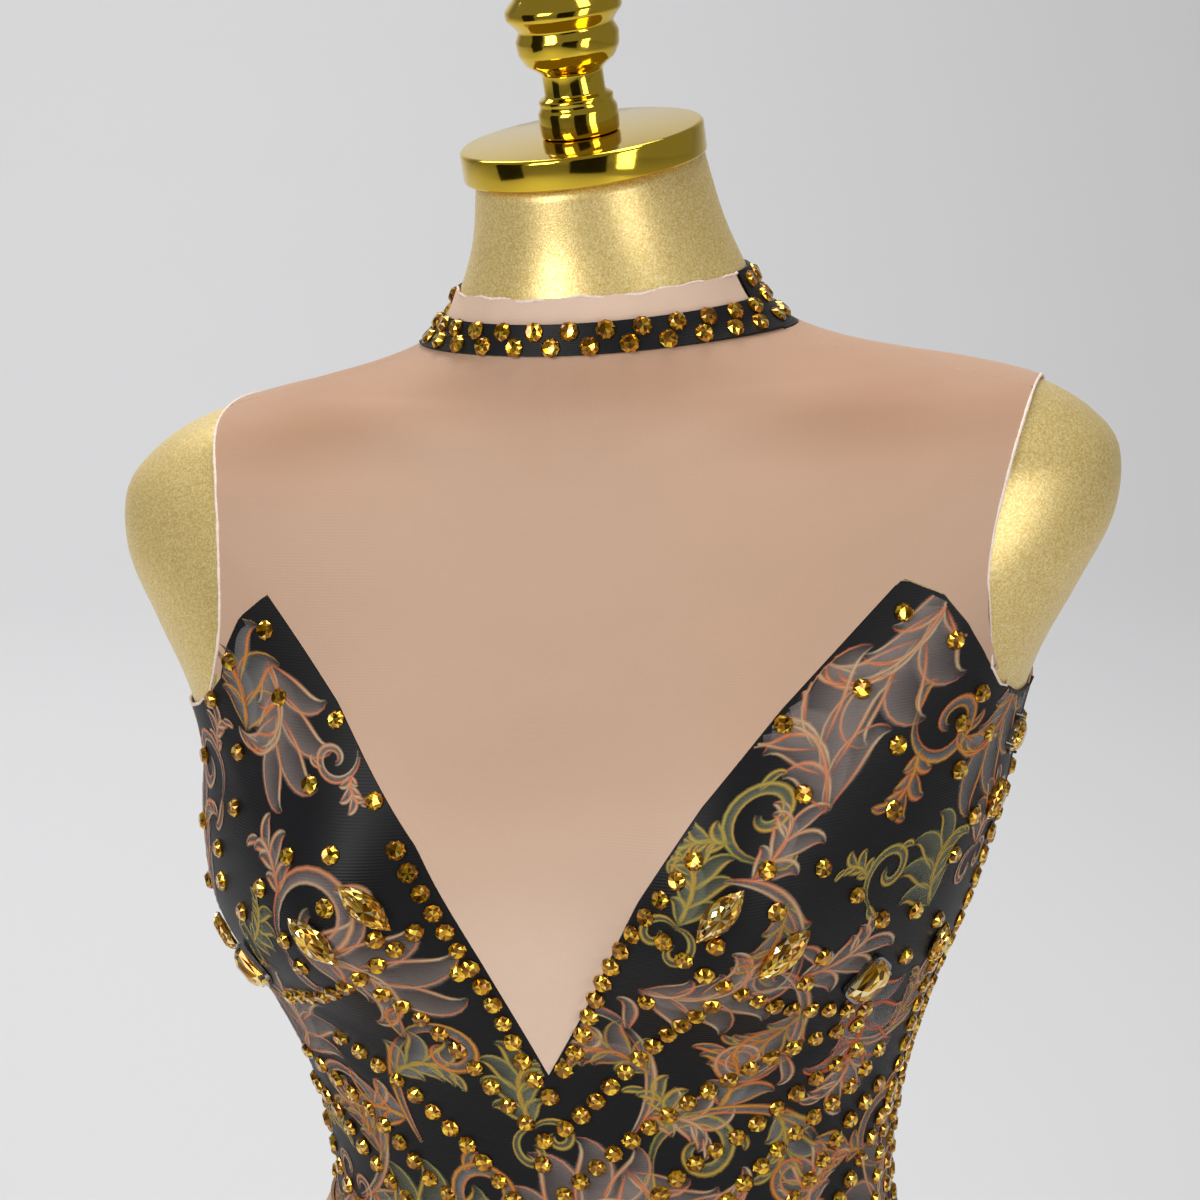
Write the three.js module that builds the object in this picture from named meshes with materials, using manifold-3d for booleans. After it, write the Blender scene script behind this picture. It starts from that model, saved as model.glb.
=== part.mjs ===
// Fringed latin dance bodysuit on a limbless dress form, in millimetres.
// Front faces -Y, the wearer's left is +X, the stand rests on z = 0.
// Every cloth piece is a wall cut from one shell that follows the form's surface.
import * as THREE from 'three';
import { mergeVertices } from 'three/addons/utils/BufferGeometryUtils.js';
import Module from 'manifold-3d';

const wasm = await Module();
wasm.setup();

// ---------------------------------------------------------------- driving sizes
const WAIST = 520;            // waist of the form above the floor
const CLOTH_GAP = 0.35;       // form to cloth
const CLOTH_WALL = 1.1;       // cloth thickness
const SEAM = 0.3;             // gap between neighbouring pieces
const ON_CLOTH = CLOTH_GAP + CLOTH_WALL + SEAM;
const AROUND = 36;            // points round the body
const SHOULDER_SEAM_Y = -15;  // front and back yoke meet here
const SIDE_SEAM_Y = 0;        // front and back bodice meet here

// ---------------------------------------------------------------- form sections
// Heights are above the waist. A ring has a half width, a depth in front and behind,
// a squareness (2 is an ellipse) and a shift towards +X that gives the form its pose.
const SECTION_COLUMNS = ['height', 'halfWidth', 'front', 'back', 'square', 'shift'];
const SECTIONS = [
  [-268, 2, 2, 2, 2.0, 0],
  [-265, 40, 30, 36, 2.0, 0],
  [-254, 86, 58, 72, 2.1, 0],
  [-233, 126, 80, 100, 2.2, 0],
  [-205, 153, 92, 114, 2.3, 0],
  [-172, 164, 96, 118, 2.3, 0],
  [-132, 160, 99, 112, 2.3, 1],
  [-88, 145, 98, 100, 2.25, 2],
  [-44, 123, 93, 86, 2.2, 2],
  [0, 110, 87, 77, 2.15, 2],
  [45, 115, 90, 75, 2.15, -1],
  [85, 129, 97, 80, 2.15, -4],
  [125, 147, 106, 87, 2.2, -6],
  [160, 155, 110, 92, 2.25, -3],
  [190, 158, 107, 96, 2.3, 0],
  [215, 166, 102, 98, 2.3, 0],
  [240, 179, 95, 97, 2.3, 0],
  [265, 191, 87, 94, 2.3, 0],
  [288, 192, 78, 90, 2.3, 0],
  [302, 182, 71, 84, 2.25, 0],
  [313, 165, 66, 77, 2.2, 0],
  [320, 142, 63, 70, 2.15, 0],
  [325, 117, 61, 64, 2.1, 0],
  [331, 92, 60, 58, 2.05, 0],
  [339, 71, 59, 54, 2.0, 0],
  [349, 60, 57, 49, 2.0, -1],
  [361, 54, 54, 44, 2.0, -2],
  [380, 47, 51, 38, 2.0, -4],
  [404, 42.5, 50, 34, 2.0, -7],
];
const LAST_ROW = SECTIONS.length - 1;
const NECK_TOP = 404;
const COLLAR_TOP = 361;
const BAND_BOTTOM = 339;
const BAND_TOP = 350.5;

// The bust: two soft mounds, reach in mm to where each has fallen to a third.
const BUST = { x: 74, height: 140, rise: 27, up: 62, down: 38, inner: 40, outer: 48 };
// The pose: the shoulder line tips up towards +X, the neck tips a little more and forward.
const POSE = {
  shoulderTip: 4.2, from: 0, to: 200, neckTip: 2.3, neckForward: 8, neckFrom: 339, neckTo: 404,
};

const degrees = THREE.MathUtils.degToRad;
const smooth = (value, from, to) => THREE.MathUtils.smoothstep(value, from, to);

function sectionAt(row) {
  const t = THREE.MathUtils.clamp(row, 0, LAST_ROW);
  const i = Math.min(Math.floor(t), LAST_ROW - 1);
  const s = t - i;
  const section = {};
  SECTION_COLUMNS.forEach((name, column) => {
    const value = (k) => SECTIONS[THREE.MathUtils.clamp(k, 0, LAST_ROW)][column];
    const [p0, p1, p2, p3] = [value(i - 1), value(i), value(i + 1), value(i + 2)];
    const bend = 2 * p0 - 5 * p1 + 4 * p2 - p3 + s * (3 * (p1 - p2) + p3 - p0);
    section[name] = p1 + 0.5 * s * (p2 - p0 + s * bend);
  });
  return section;
}

function rowAt(height) {
  let low = 0;
  let high = LAST_ROW;
  for (let step = 0; step < 40; step += 1) {
    const middle = (low + high) / 2;
    if (sectionAt(middle).height < height) low = middle;
    else high = middle;
  }
  return (low + high) / 2;
}

function bustRise(x, height) {
  const drop = height - BUST.height;
  const tall = Math.exp(-((drop / (drop > 0 ? BUST.up : BUST.down)) ** 2));
  const mound = (away) => Math.exp(-((away / (away > 0 ? BUST.outer : BUST.inner)) ** 2));
  return BUST.rise * tall * (1 - (1 - mound(x - BUST.x)) * (1 - mound(-x - BUST.x)));
}

function tilts(height) {
  const neck = smooth(height, POSE.neckFrom, POSE.neckTo);
  const side = POSE.shoulderTip * smooth(height, POSE.from, POSE.to) + POSE.neckTip * neck;
  return { side: degrees(side), forward: degrees(POSE.neckForward * neck) };
}

// Point of the form's surface: u runs round the body from the centre front (0) to +X (90 degrees).
function formPoint(u, row) {
  const s = sectionAt(row);
  const round = (value) => Math.sign(value) * Math.abs(value) ** (2 / s.square);
  const ahead = Math.cos(u);
  const x = s.halfWidth * round(Math.sin(u));
  let y = -(ahead > 0 ? s.front : s.back) * round(ahead);
  y -= bustRise(x, s.height) * THREE.MathUtils.clamp(3 * ahead, 0, 1);
  const tilt = tilts(s.height);
  return new THREE.Vector3(
    x * Math.cos(tilt.side) + s.shift,
    y,
    WAIST + s.height + x * Math.sin(tilt.side) + y * Math.sin(tilt.forward),
  );
}

function formNormal(u, row) {
  const du = 0.01;
  const dr = 0.02;
  const across = formPoint(u + du, row).sub(formPoint(u - du, row));
  const up = formPoint(u, Math.min(row + dr, LAST_ROW)).sub(formPoint(u, Math.max(row - dr, 0)));
  return across.cross(up).normalize();
}

const surfacePoint = (u, row, out) => formPoint(u, row).addScaledVector(formNormal(u, row), out);

// Between these heights, from hip to bust, a ring is added half way between the table's rows.
const FINER = { from: -50, to: 150 };
const LEAST_STEP = 0.2;   // of a row, between a panel's end and the next ring

// Rings between two heights.
function ringRows(bottom, top) {
  const first = rowAt(bottom);
  const last = rowAt(top);
  const rows = [first];
  for (let half = 1; half < 2 * LAST_ROW; half += 1) {
    const row = half / 2;
    const i = Math.floor(row);
    const height = SECTIONS[i][0];
    const wanted = half % 2 === 0 || (height > FINER.from && height < FINER.to);
    if (wanted && row > first + LEAST_STEP && row < last - LEAST_STEP) rows.push(row);
  }
  rows.push(last);
  return rows;
}

// ---------------------------------------------------------------- closed meshes
function closedGeometry(points, triangles) {
  const geometry = new THREE.BufferGeometry();
  const numbers = points.flatMap((p) => p.toArray());
  geometry.setAttribute('position', new THREE.Float32BufferAttribute(numbers, 3));
  geometry.setIndex(triangles.flat());
  return geometry;
}

const quad = (a, b, c, d) => [[a, b, c], [a, c, d]];

// The body filled from its lowest ring to a ring at the given height.
function filledBody(out, top) {
  const rows = ringRows(SECTIONS[0][0], top);
  const points = rows.flatMap((row) => Array.from({ length: AROUND }, (_, j) => (
    surfacePoint((j / AROUND) * 2 * Math.PI, row, out))));
  const triangles = [];
  for (let i = 0; i < rows.length - 1; i += 1) {
    for (let j = 0; j < AROUND; j += 1) {
      const k = (j + 1) % AROUND;
      triangles.push(...quad(i * AROUND + j, i * AROUND + k, (i + 1) * AROUND + k, (i + 1) * AROUND + j));
    }
  }
  for (const [ring, flip] of [[0, true], [rows.length - 1, false]]) {
    const start = ring * AROUND;
    const middle = points.slice(start, start + AROUND).reduce((sum, p) => sum.add(p), new THREE.Vector3());
    points.push(middle.divideScalar(AROUND));
    for (let j = 0; j < AROUND; j += 1) {
      const pair = [start + j, start + ((j + 1) % AROUND)];
      if (flip) pair.reverse();
      triangles.push([...pair, points.length - 1]);
    }
  }
  return closedGeometry(points, triangles);
}

const LEAST_GAP = 0.3;   // of a column, between a strip's end and the next column

// The body's own columns between two angles, so that what lies on a panel has the panel's facets.
function columnAngles(fromU, toU) {
  const step = (2 * Math.PI) / AROUND;
  const angles = [fromU];
  for (let k = Math.ceil(fromU / step + LEAST_GAP); k * step < toU - LEAST_GAP * step; k += 1) {
    angles.push(k * step);
  }
  return [...angles, toU];
}

// A strip of cloth on the body, from angle to angle and height to height, with a wall.
function bandGeometry({ fromU, toU, bottom, top, inside, wall }) {
  const rows = ringRows(bottom, top);
  const angles = columnAngles(fromU, toU);
  const whole = toU - fromU > 1.99 * Math.PI;
  if (whole) angles.pop();
  const columns = angles.length;
  const steps = whole ? columns : columns - 1;
  const points = [];
  for (const out of [inside, inside + wall]) {
    for (const row of rows) {
      for (const u of angles) points.push(surfacePoint(u, row, out));
    }
  }
  const at = (layer, i, j) => (layer * rows.length + i) * columns + (j % columns);
  const triangles = [];
  const lastRing = rows.length - 1;
  for (let j = 0; j < steps; j += 1) {
    for (let i = 0; i < lastRing; i += 1) {
      triangles.push(...quad(at(1, i, j), at(1, i, j + 1), at(1, i + 1, j + 1), at(1, i + 1, j)));
      triangles.push(...quad(at(0, i, j), at(0, i + 1, j), at(0, i + 1, j + 1), at(0, i, j + 1)));
    }
    triangles.push(...quad(at(0, 0, j), at(0, 0, j + 1), at(1, 0, j + 1), at(1, 0, j)));
    triangles.push(...quad(at(1, lastRing, j), at(1, lastRing, j + 1),
      at(0, lastRing, j + 1), at(0, lastRing, j)));
  }
  if (!whole) {
    for (let i = 0; i < lastRing; i += 1) {
      triangles.push(...quad(at(0, i, 0), at(1, i, 0), at(1, i + 1, 0), at(0, i + 1, 0)));
      triangles.push(...quad(at(1, i, steps), at(0, i, steps), at(0, i + 1, steps), at(1, i + 1, steps)));
    }
  }
  return closedGeometry(points, triangles);
}

// ---------------------------------------------------------------- joins and cuts
function toSolid(geometry) {
  const bare = geometry.clone();
  bare.deleteAttribute('normal');
  bare.deleteAttribute('uv');
  const merged = mergeVertices(bare, 1e-4);
  return new wasm.Manifold(new wasm.Mesh({
    numProp: 3,
    vertProperties: new Float32Array(merged.attributes.position.array),
    triVerts: new Uint32Array(merged.index.array),
  }));
}

function toGeometry(solid) {
  const mesh = solid.getMesh();
  const geometry = new THREE.BufferGeometry();
  geometry.setAttribute('position', new THREE.BufferAttribute(mesh.vertProperties, 3));
  geometry.setIndex(new THREE.BufferAttribute(mesh.triVerts, 1));
  return geometry;
}

// A block that stands through the body from front to back: outline in x and height above the waist.
function throughBlock(outline, fromY, toY) {
  const shape = new THREE.Shape(outline.map(([x, height]) => new THREE.Vector2(x, height)));
  const block = new THREE.ExtrudeGeometry(shape, { depth: toY - fromY, bevelEnabled: false });
  block.rotateX(Math.PI / 2);
  block.translate(0, toY, WAIST);
  return toSolid(block);
}

// Past every side of the body, its top and its foot.
const FAR = 260;
const FAR_UP = 460;
const FAR_DOWN = -330;
const box = (x0, x1, y0, y1, low, high) => (
  throughBlock([[x0, low], [x1, low], [x1, high], [x0, high]], y0, y1));

// ---------------------------------------------------------------- outlines of the cut
// Top edge of the printed front, x and height: armhole, point, plunging V, point, armhole.
const FRONT_TOP = [
  [-FAR, 203], [-140, 205], [-131, 216], [-128, 228], [-122, 240], [-110, 250],
  [-77, 216], [-43, 170], [-22, 127], [0, 80], [21, 120], [39, 157], [60, 191], [84, 223],
  [122, 267], [136, 261], [144, 250], [149, 239], [154, 224], [166, 214], [FAR, 214],
];
// Top edge of the back, a shallow V between the armholes.
const BACK_TOP = [[-FAR, 196], [-150, 196], [-80, 184], [0, 158], [84, 192], [160, 208], [FAR, 208]];
// Armholes: what they take away, x and height.
const ARMHOLES = [
  [[-156, 330], [-144, 304], [-135, 281], [-131, 252], [-131, 230], [-136, 211], [-147, 199], [-165, 195],
    [-FAR, 195], [-FAR, 330]],
  [[166, 350], [156, 304], [151, 278], [150, 256], [152, 236], [157, 219], [164, 210], [175, 207],
    [FAR, 207], [FAR, 350]],
];
// Leg openings on the +X side, x and height; the other side mirrors them.
const LEG_FRONT = [
  [28, -300], [28, -262], [36, -240], [56, -205], [92, -165], [136, -128], [FAR, -100], [FAR, -300],
];
const LEG_BACK = [
  [28, -300], [28, -264], [48, -252], [92, -226], [126, -180], [148, -138], [FAR, -96], [FAR, -300],
];
// Between these heights the yoke's back half stays behind the side seam.
const UNDERARM = { bottom: 150, top: 280 };
const NAPE_SLIT = { x: -1, bottom: 236, top: 420 };
// What the black back collar takes out of the yoke: its top, and from how far inside the form.
const COLLAR_ROOM = { top: 372, inside: -2, wall: 6 };

const lifted = (edge, lift) => edge.map(([x, height]) => [x, height + lift]);
const above = (edge, lift) => [...lifted(edge, lift), [FAR, FAR_UP], [-FAR, FAR_UP]];
const below = (edge, lift) => [...lifted(edge, lift), [FAR, FAR_DOWN], [-FAR, FAR_DOWN]].reverse();
// The plunging V is steep, so its seam needs more room upwards than a level one:
// the yoke's edge is raised by the first and the bodice's lowered by the second.
const V_RAISE = SEAM;
const V_DROP = SEAM / 4;

// ---------------------------------------------------------------- cloth
const cloth = toSolid(filledBody(CLOTH_GAP + CLOTH_WALL, COLLAR_TOP))
  .subtract(toSolid(filledBody(CLOTH_GAP, NECK_TOP)));
const withoutArmholes = ARMHOLES.reduce((solid, outline) => (
  solid.subtract(throughBlock(outline, -FAR, FAR))), cloth);

function cutLegs(solid, outline, y0, y1) {
  const mirrored = outline.map(([x, height]) => [-x, height]).reverse();
  return solid.subtract(throughBlock(outline, y0, y1)).subtract(throughBlock(mirrored, y0, y1));
}

const frontYoke = withoutArmholes
  .intersect(throughBlock(above(FRONT_TOP, V_RAISE), -FAR, SHOULDER_SEAM_Y - SEAM / 2));

const backYoke = withoutArmholes
  .intersect(throughBlock(above(BACK_TOP, SEAM / 2), SHOULDER_SEAM_Y + SEAM / 2, FAR))
  .subtract(toSolid(filledNeck()))
  .subtract(box(-FAR, FAR, 2 * SHOULDER_SEAM_Y, SIDE_SEAM_Y + SEAM, UNDERARM.bottom, UNDERARM.top))
  .subtract(box(NAPE_SLIT.x - SEAM, NAPE_SLIT.x + SEAM, 0, FAR, NAPE_SLIT.bottom, NAPE_SLIT.top));

// Everything above the foot of the back collar, so that the black collar can stand there.
function filledNeck() {
  return bandGeometry({ fromU: 0, toU: 2 * Math.PI, bottom: BAND_BOTTOM - 2 * SEAM, ...COLLAR_ROOM });
}

const frontBodice = cutLegs(
  withoutArmholes.intersect(throughBlock(below(FRONT_TOP, -V_DROP), -FAR, SIDE_SEAM_Y - SEAM / 2)),
  LEG_FRONT, -FAR, SIDE_SEAM_Y,
);
const backBodice = cutLegs(
  withoutArmholes.intersect(throughBlock(below(BACK_TOP, -SEAM / 2), SIDE_SEAM_Y + SEAM / 2, FAR)),
  LEG_BACK, SIDE_SEAM_Y, FAR,
);

// ---------------------------------------------------------------- neck bands
const BAND_WALL = 1.0;
const COLLAR_SEAM_U = degrees(76);     // where front and back collar meet
const NAPE_HALF_GAP = degrees(0.5);

const frontBand = bandGeometry({
  fromU: -COLLAR_SEAM_U, toU: COLLAR_SEAM_U, bottom: BAND_BOTTOM, top: BAND_TOP,
  inside: ON_CLOTH, wall: BAND_WALL,
});
const backBand = (fromU, toU) => bandGeometry({
  fromU, toU, bottom: BAND_BOTTOM, top: COLLAR_TOP, inside: CLOTH_GAP, wall: CLOTH_WALL,
});
// The back collar starts just behind the front yoke's shoulder seam.
const BACK_BAND_U = degrees(76.8);
const leftBand = backBand(BACK_BAND_U, Math.PI - NAPE_HALF_GAP);
const rightBand = backBand(Math.PI + NAPE_HALF_GAP, 2 * Math.PI - BACK_BAND_U);

// ---------------------------------------------------------------- fringe
const TAPE = { top: -8, bottom: -22, out: ON_CLOTH + 0.4, wall: 1.2 };
const STRANDS = 120;
// Where a strand lies: height, and how far its middle stands out from the form.
const STRAND_STATIONS = [
  { height: -17, out: ON_CLOTH + 1.4 },
  { height: -82, out: 8.2 },
  { height: -165, out: 9.2 },
];
const STRAND_END = { height: -318, flare: 6 };
const STRAND = { width: 1.9, depth: 1.5 };

function strandGeometry(u, drop) {
  const middles = STRAND_STATIONS.map(({ height, out }) => surfacePoint(u, rowAt(height), out));
  const last = middles[middles.length - 1];
  const outward = new THREE.Vector3(last.x, last.y, 0).normalize();
  const end = last.clone().addScaledVector(outward, STRAND_END.flare);
  end.z = WAIST + STRAND_END.height + drop;
  middles.push(end);
  const points = [];
  for (const [i, middle] of middles.entries()) {
    const row = rowAt(STRAND_STATIONS[Math.min(i, STRAND_STATIONS.length - 1)].height);
    const normal = i < STRAND_STATIONS.length ? formNormal(u, row) : outward;
    const across = new THREE.Vector3(-normal.y, normal.x, 0).normalize();
    const inner = middle.clone().addScaledVector(normal, -STRAND.depth / 2);
    points.push(middle.clone().addScaledVector(normal, STRAND.depth / 2));
    points.push(inner.clone().addScaledVector(across, STRAND.width / 2));
    points.push(inner.clone().addScaledVector(across, -STRAND.width / 2));
  }
  const triangles = [[0, 1, 2]];
  for (let i = 0; i < middles.length - 1; i += 1) {
    for (let k = 0; k < 3; k += 1) {
      const a = 3 * i + k;
      const b = 3 * i + ((k + 1) % 3);
      triangles.push(...quad(b, a, a + 3, b + 3));
    }
  }
  const tip = 3 * (middles.length - 1);
  triangles.push([tip + 2, tip + 1, tip]);
  return closedGeometry(points, triangles);
}

function fringeSolid() {
  const tape = toSolid(bandGeometry({
    fromU: 0, toU: 2 * Math.PI, bottom: TAPE.bottom, top: TAPE.top,
    inside: TAPE.out, wall: TAPE.wall,
  }));
  const strands = Array.from({ length: STRANDS }, (_, k) => {
    const raggedEnd = 5 * Math.sin(2.4 * k) + 3 * Math.sin(5.1 * k);
    return toSolid(strandGeometry(((k + 0.5) / STRANDS) * 2 * Math.PI, raggedEnd));
  });
  return wasm.Manifold.union([tape, ...strands]);
}

// ---------------------------------------------------------------- large gems
// u and height place a gem's middle; turn is its long axis from level, rising towards +X.
const GEM_COLUMNS = ['name', 'kind', 'u', 'height', 'turn'];
const GEMS = [
  ['gem_marquise_right_inner', 'marquise', -19, 153, -45],
  ['gem_marquise_right_outer', 'marquise', -26.5, 140, -40],
  ['gem_marquise_left_inner', 'marquise', 25.5, 152, 45],
  ['gem_marquise_left_outer', 'marquise', 36, 135, 42],
  ['gem_octagon_right', 'octagon', -50, 113, -52],
  ['gem_octagon_left', 'octagon', 54, 113, 48],
  ['gem_navette_right', 'navette', -66, 116, -70],
  ['gem_navette_left', 'navette', 73, 116, 80],
  ['gem_navette_left_side', 'navette', 78, 166, 62],
  ['gem_oval_left_side', 'oval', 83, 187, 60],
];
const GEM_KINDS = {
  marquise: { length: 25, width: 11, height: 5.5, corners: 12, point: 1.5 },
  navette: { length: 17, width: 8, height: 4.5, corners: 12, point: 1.5 },
  oval: { length: 14, width: 10, height: 4.5, corners: 12, point: 1 },
  octagon: { length: 18, width: 13, height: 6, corners: 8, point: 1 },
};
const GEM_SEAT = { from: -3, step: 0.25 };
// Levels of a cut stone: share of its height, share of its size.
const GEM_LEVELS = [{ up: 0, size: 0.92 }, { up: 0.32, size: 1 }, { up: 1, size: 0.58 }];

function gemOutline({ length, width, corners, point }, size) {
  return Array.from({ length: corners }, (_, k) => {
    const angle = ((k + (corners === 8 ? 0.5 : 0)) / corners) * 2 * Math.PI;
    const side = Math.abs(Math.sin(angle)) ** point * Math.sign(Math.sin(angle));
    return [(length / 2) * size * Math.cos(angle), (width / 2) * size * side];
  });
}

function gemGeometry(kind) {
  const { height, corners } = kind;
  const points = GEM_LEVELS.flatMap(({ up, size }) => (
    gemOutline(kind, size).map(([x, y]) => new THREE.Vector3(x, y, up * height))));
  const triangles = [];
  for (let level = 0; level < GEM_LEVELS.length - 1; level += 1) {
    for (let k = 0; k < corners; k += 1) {
      const next = (k + 1) % corners;
      triangles.push(...quad(level * corners + k, level * corners + next,
        (level + 1) * corners + next, (level + 1) * corners + k));
    }
  }
  const top = (GEM_LEVELS.length - 1) * corners;
  for (let k = 1; k < corners - 1; k += 1) {
    triangles.push([0, k + 1, k]);
    triangles.push([top, top + k, top + k + 1]);
  }
  return closedGeometry(points, triangles);
}

// A gem faces out along the form's normal and is moved out from below the cloth until it is clear of it.
function seatGem(mesh, gem, panel) {
  const u = degrees(gem.u);
  const row = rowAt(gem.height);
  const normal = formNormal(u, row);
  const level = formPoint(u + 0.02, row).sub(formPoint(u - 0.02, row)).normalize();
  const up = normal.clone().cross(level);
  const turn = degrees(gem.turn);
  const along = level.clone().multiplyScalar(Math.cos(turn)).addScaledVector(up, Math.sin(turn));
  const across = normal.clone().cross(along);
  mesh.quaternion.setFromRotationMatrix(new THREE.Matrix4().makeBasis(along, across, normal));
  const stone = toSolid(mesh.geometry);
  let touching = true;
  for (let out = GEM_SEAT.from; touching; out += GEM_SEAT.step) {
    mesh.position.copy(surfacePoint(u, row, out));
    mesh.updateMatrix();
    touching = stone.transform(mesh.matrix.toArray()).intersect(panel).volume() > 0;
  }
  mesh.position.addScaledVector(normal, GEM_SEAT.step / 2);
}

// ---------------------------------------------------------------- dress form
const STUMP_BOTTOM = -330;
// Thigh stumps: height, half width and half depth of each ring, and how far out its middle is.
const STUMP_COLUMNS = ['height', 'halfWidth', 'halfDepth', 'out', 'back'];
const STUMP_ROWS = [
  [-120, 30, 34, 84, 6],
  [-185, 52, 54, 94, 8],
  [-230, 62, 64, 97, 8],
  [-270, 65, 80, 98, 6],
  [STUMP_BOTTOM, 61, 76, 98, 4],
];
const STUMP_AROUND = 32;
const named = (columns, values) => Object.fromEntries(columns.map((name, i) => [name, values[i]]));

function stumpGeometry(side) {
  const rings = STUMP_ROWS.map((values) => named(STUMP_COLUMNS, values)).reverse();
  const points = rings.flatMap(({ height, halfWidth, halfDepth, out, back }) => (
    Array.from({ length: STUMP_AROUND }, (_, j) => {
      const angle = (j / STUMP_AROUND) * 2 * Math.PI;
      const x = side * out + halfWidth * Math.cos(angle);
      return new THREE.Vector3(x, back + halfDepth * Math.sin(angle), WAIST + height);
    })));
  const triangles = [];
  for (let i = 0; i < rings.length - 1; i += 1) {
    for (let j = 0; j < STUMP_AROUND; j += 1) {
      const k = (j + 1) % STUMP_AROUND;
      triangles.push(...quad(i * STUMP_AROUND + j, i * STUMP_AROUND + k,
        (i + 1) * STUMP_AROUND + k, (i + 1) * STUMP_AROUND + j));
    }
  }
  const top = (rings.length - 1) * STUMP_AROUND;
  for (let j = 1; j < STUMP_AROUND - 1; j += 1) {
    triangles.push([0, j + 1, j]);
    triangles.push([top, top + j, top + j + 1]);
  }
  return closedGeometry(points, triangles);
}

const torso = wasm.Manifold.union([
  toSolid(filledBody(0, NECK_TOP)), toSolid(stumpGeometry(-1)), toSolid(stumpGeometry(1)),
]);

// ---------------------------------------------------------------- turned metal
// Turned about +Z: each pair is a radius and a height.
const turned = (profile, around) => {
  const lathe = new THREE.LatheGeometry(profile.map(([r, z]) => new THREE.Vector2(r, z)), around);
  lathe.rotateX(Math.PI / 2);
  return lathe;
};
const CAP = { radius: 45.5, height: 11.5, edge: 1 };
const CAP_PROFILE = [
  [0, 0], [CAP.radius, 0], [CAP.radius, CAP.height - CAP.edge],
  [CAP.radius - CAP.edge, CAP.height], [0, CAP.height],
];
const FINIAL_PROFILE = [
  [0, 0], [14.5, 0], [14.8, 3], [14.8, 9], [13.5, 11], [14, 13.5], [11.3, 15], [11.3, 23], [13, 24.5],
  [16.5, 27], [18.7, 31], [19.2, 36], [17.5, 39.5], [19, 41.5], [21.6, 44.5], [21.6, 47.5], [17.5, 52],
  [15.6, 56], [16.5, 60], [20, 64], [20, 69], [15.5, 73], [11, 77], [9, 83], [12, 88], [14, 95],
  [13, 102], [9, 108], [4.5, 111.5], [0, 112.5],
];
const BASE = { radius: 165, height: 12, edge: 3 };
const BASE_PROFILE = [[0, 0], [BASE.radius, 0], [BASE.radius, BASE.height - BASE.edge],
  [BASE.radius - BASE.edge, BASE.height], [0, BASE.height]];
const PLATE = { halfWidth: 168, halfDepth: 74, height: 8, back: 4 };
const PLATE_TOP = WAIST + STUMP_BOTTOM - SEAM;
const POLE = {
  radius: 14, flange: 32, flangeHeight: 6, fillet: 2,
  bottom: BASE.height + SEAM, top: PLATE_TOP - PLATE.height - SEAM,
};
const POLE_PROFILE = [
  [0, POLE.bottom], [POLE.flange, POLE.bottom], [POLE.flange, POLE.bottom + POLE.flangeHeight],
  [POLE.radius, POLE.bottom + POLE.flangeHeight + POLE.fillet],
  [POLE.radius, POLE.top - POLE.flangeHeight - POLE.fillet],
  [POLE.flange, POLE.top - POLE.flangeHeight], [POLE.flange, POLE.top], [0, POLE.top],
];

function plateGeometry() {
  const oval = new THREE.Shape().absellipse(0, 0, PLATE.halfWidth, PLATE.halfDepth, 0, 2 * Math.PI);
  const flat = { depth: PLATE.height, bevelEnabled: false, curveSegments: 20 };
  const plate = new THREE.ExtrudeGeometry(oval, flat);
  plate.translate(0, PLATE.back, PLATE_TOP - PLATE.height);
  return plate;
}

// The neck's top face, tipped like the last ring of the form.
function neckTopFrame() {
  const middle = formPoint(0, LAST_ROW).add(formPoint(Math.PI, LAST_ROW)).multiplyScalar(0.5);
  const toLeft = formPoint(Math.PI / 2, LAST_ROW).sub(formPoint(-Math.PI / 2, LAST_ROW)).normalize();
  const toBack = formPoint(Math.PI, LAST_ROW).sub(formPoint(0, LAST_ROW)).normalize();
  const up = toLeft.clone().cross(toBack).normalize();
  const frame = new THREE.Group();
  const squared = up.clone().cross(toLeft).normalize();
  frame.quaternion.setFromRotationMatrix(new THREE.Matrix4().makeBasis(toLeft, squared, up));
  frame.position.copy(middle).addScaledVector(up, SEAM);
  return frame;
}

// ---------------------------------------------------------------- materials and scene
const material = (color, roughness, metalness = 0) => (
  new THREE.MeshStandardMaterial({ color, roughness, metalness }));
const MATERIALS = {
  nudeMesh: material('#c9a087', 0.75),
  blackSpandex: material('#17161a', 0.55),
  goldFringe: material('#c48a1c', 0.5),
  topazGem: material('#d9951c', 0.12),
  satinGold: material('#bfa248', 0.42, 0.8),
  polishedGold: material('#d6ac2c', 0.12, 1),
};

const garment = new THREE.Group();
const dressForm = new THREE.Group();
const add = (parent, name, geometry, look) => {
  const mesh = new THREE.Mesh(geometry, look);
  mesh.name = name;
  parent.add(mesh);
  return mesh;
};

add(garment, 'yoke_front', toGeometry(frontYoke), MATERIALS.nudeMesh);
add(garment, 'yoke_back', toGeometry(backYoke), MATERIALS.nudeMesh);
add(garment, 'bodice_front', toGeometry(frontBodice), MATERIALS.blackSpandex);
add(garment, 'bodice_back', toGeometry(backBodice), MATERIALS.blackSpandex);
add(garment, 'neck_band_front', frontBand, MATERIALS.blackSpandex);
add(garment, 'neck_band_back_left', leftBand, MATERIALS.blackSpandex);
add(garment, 'neck_band_back_right', rightBand, MATERIALS.blackSpandex);
add(garment, 'fringe_waist', toGeometry(fringeSolid()), MATERIALS.goldFringe);
for (const values of GEMS) {
  const gem = named(GEM_COLUMNS, values);
  seatGem(add(garment, gem.name, gemGeometry(GEM_KINDS[gem.kind]), MATERIALS.topazGem), gem, frontBodice);
}

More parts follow.
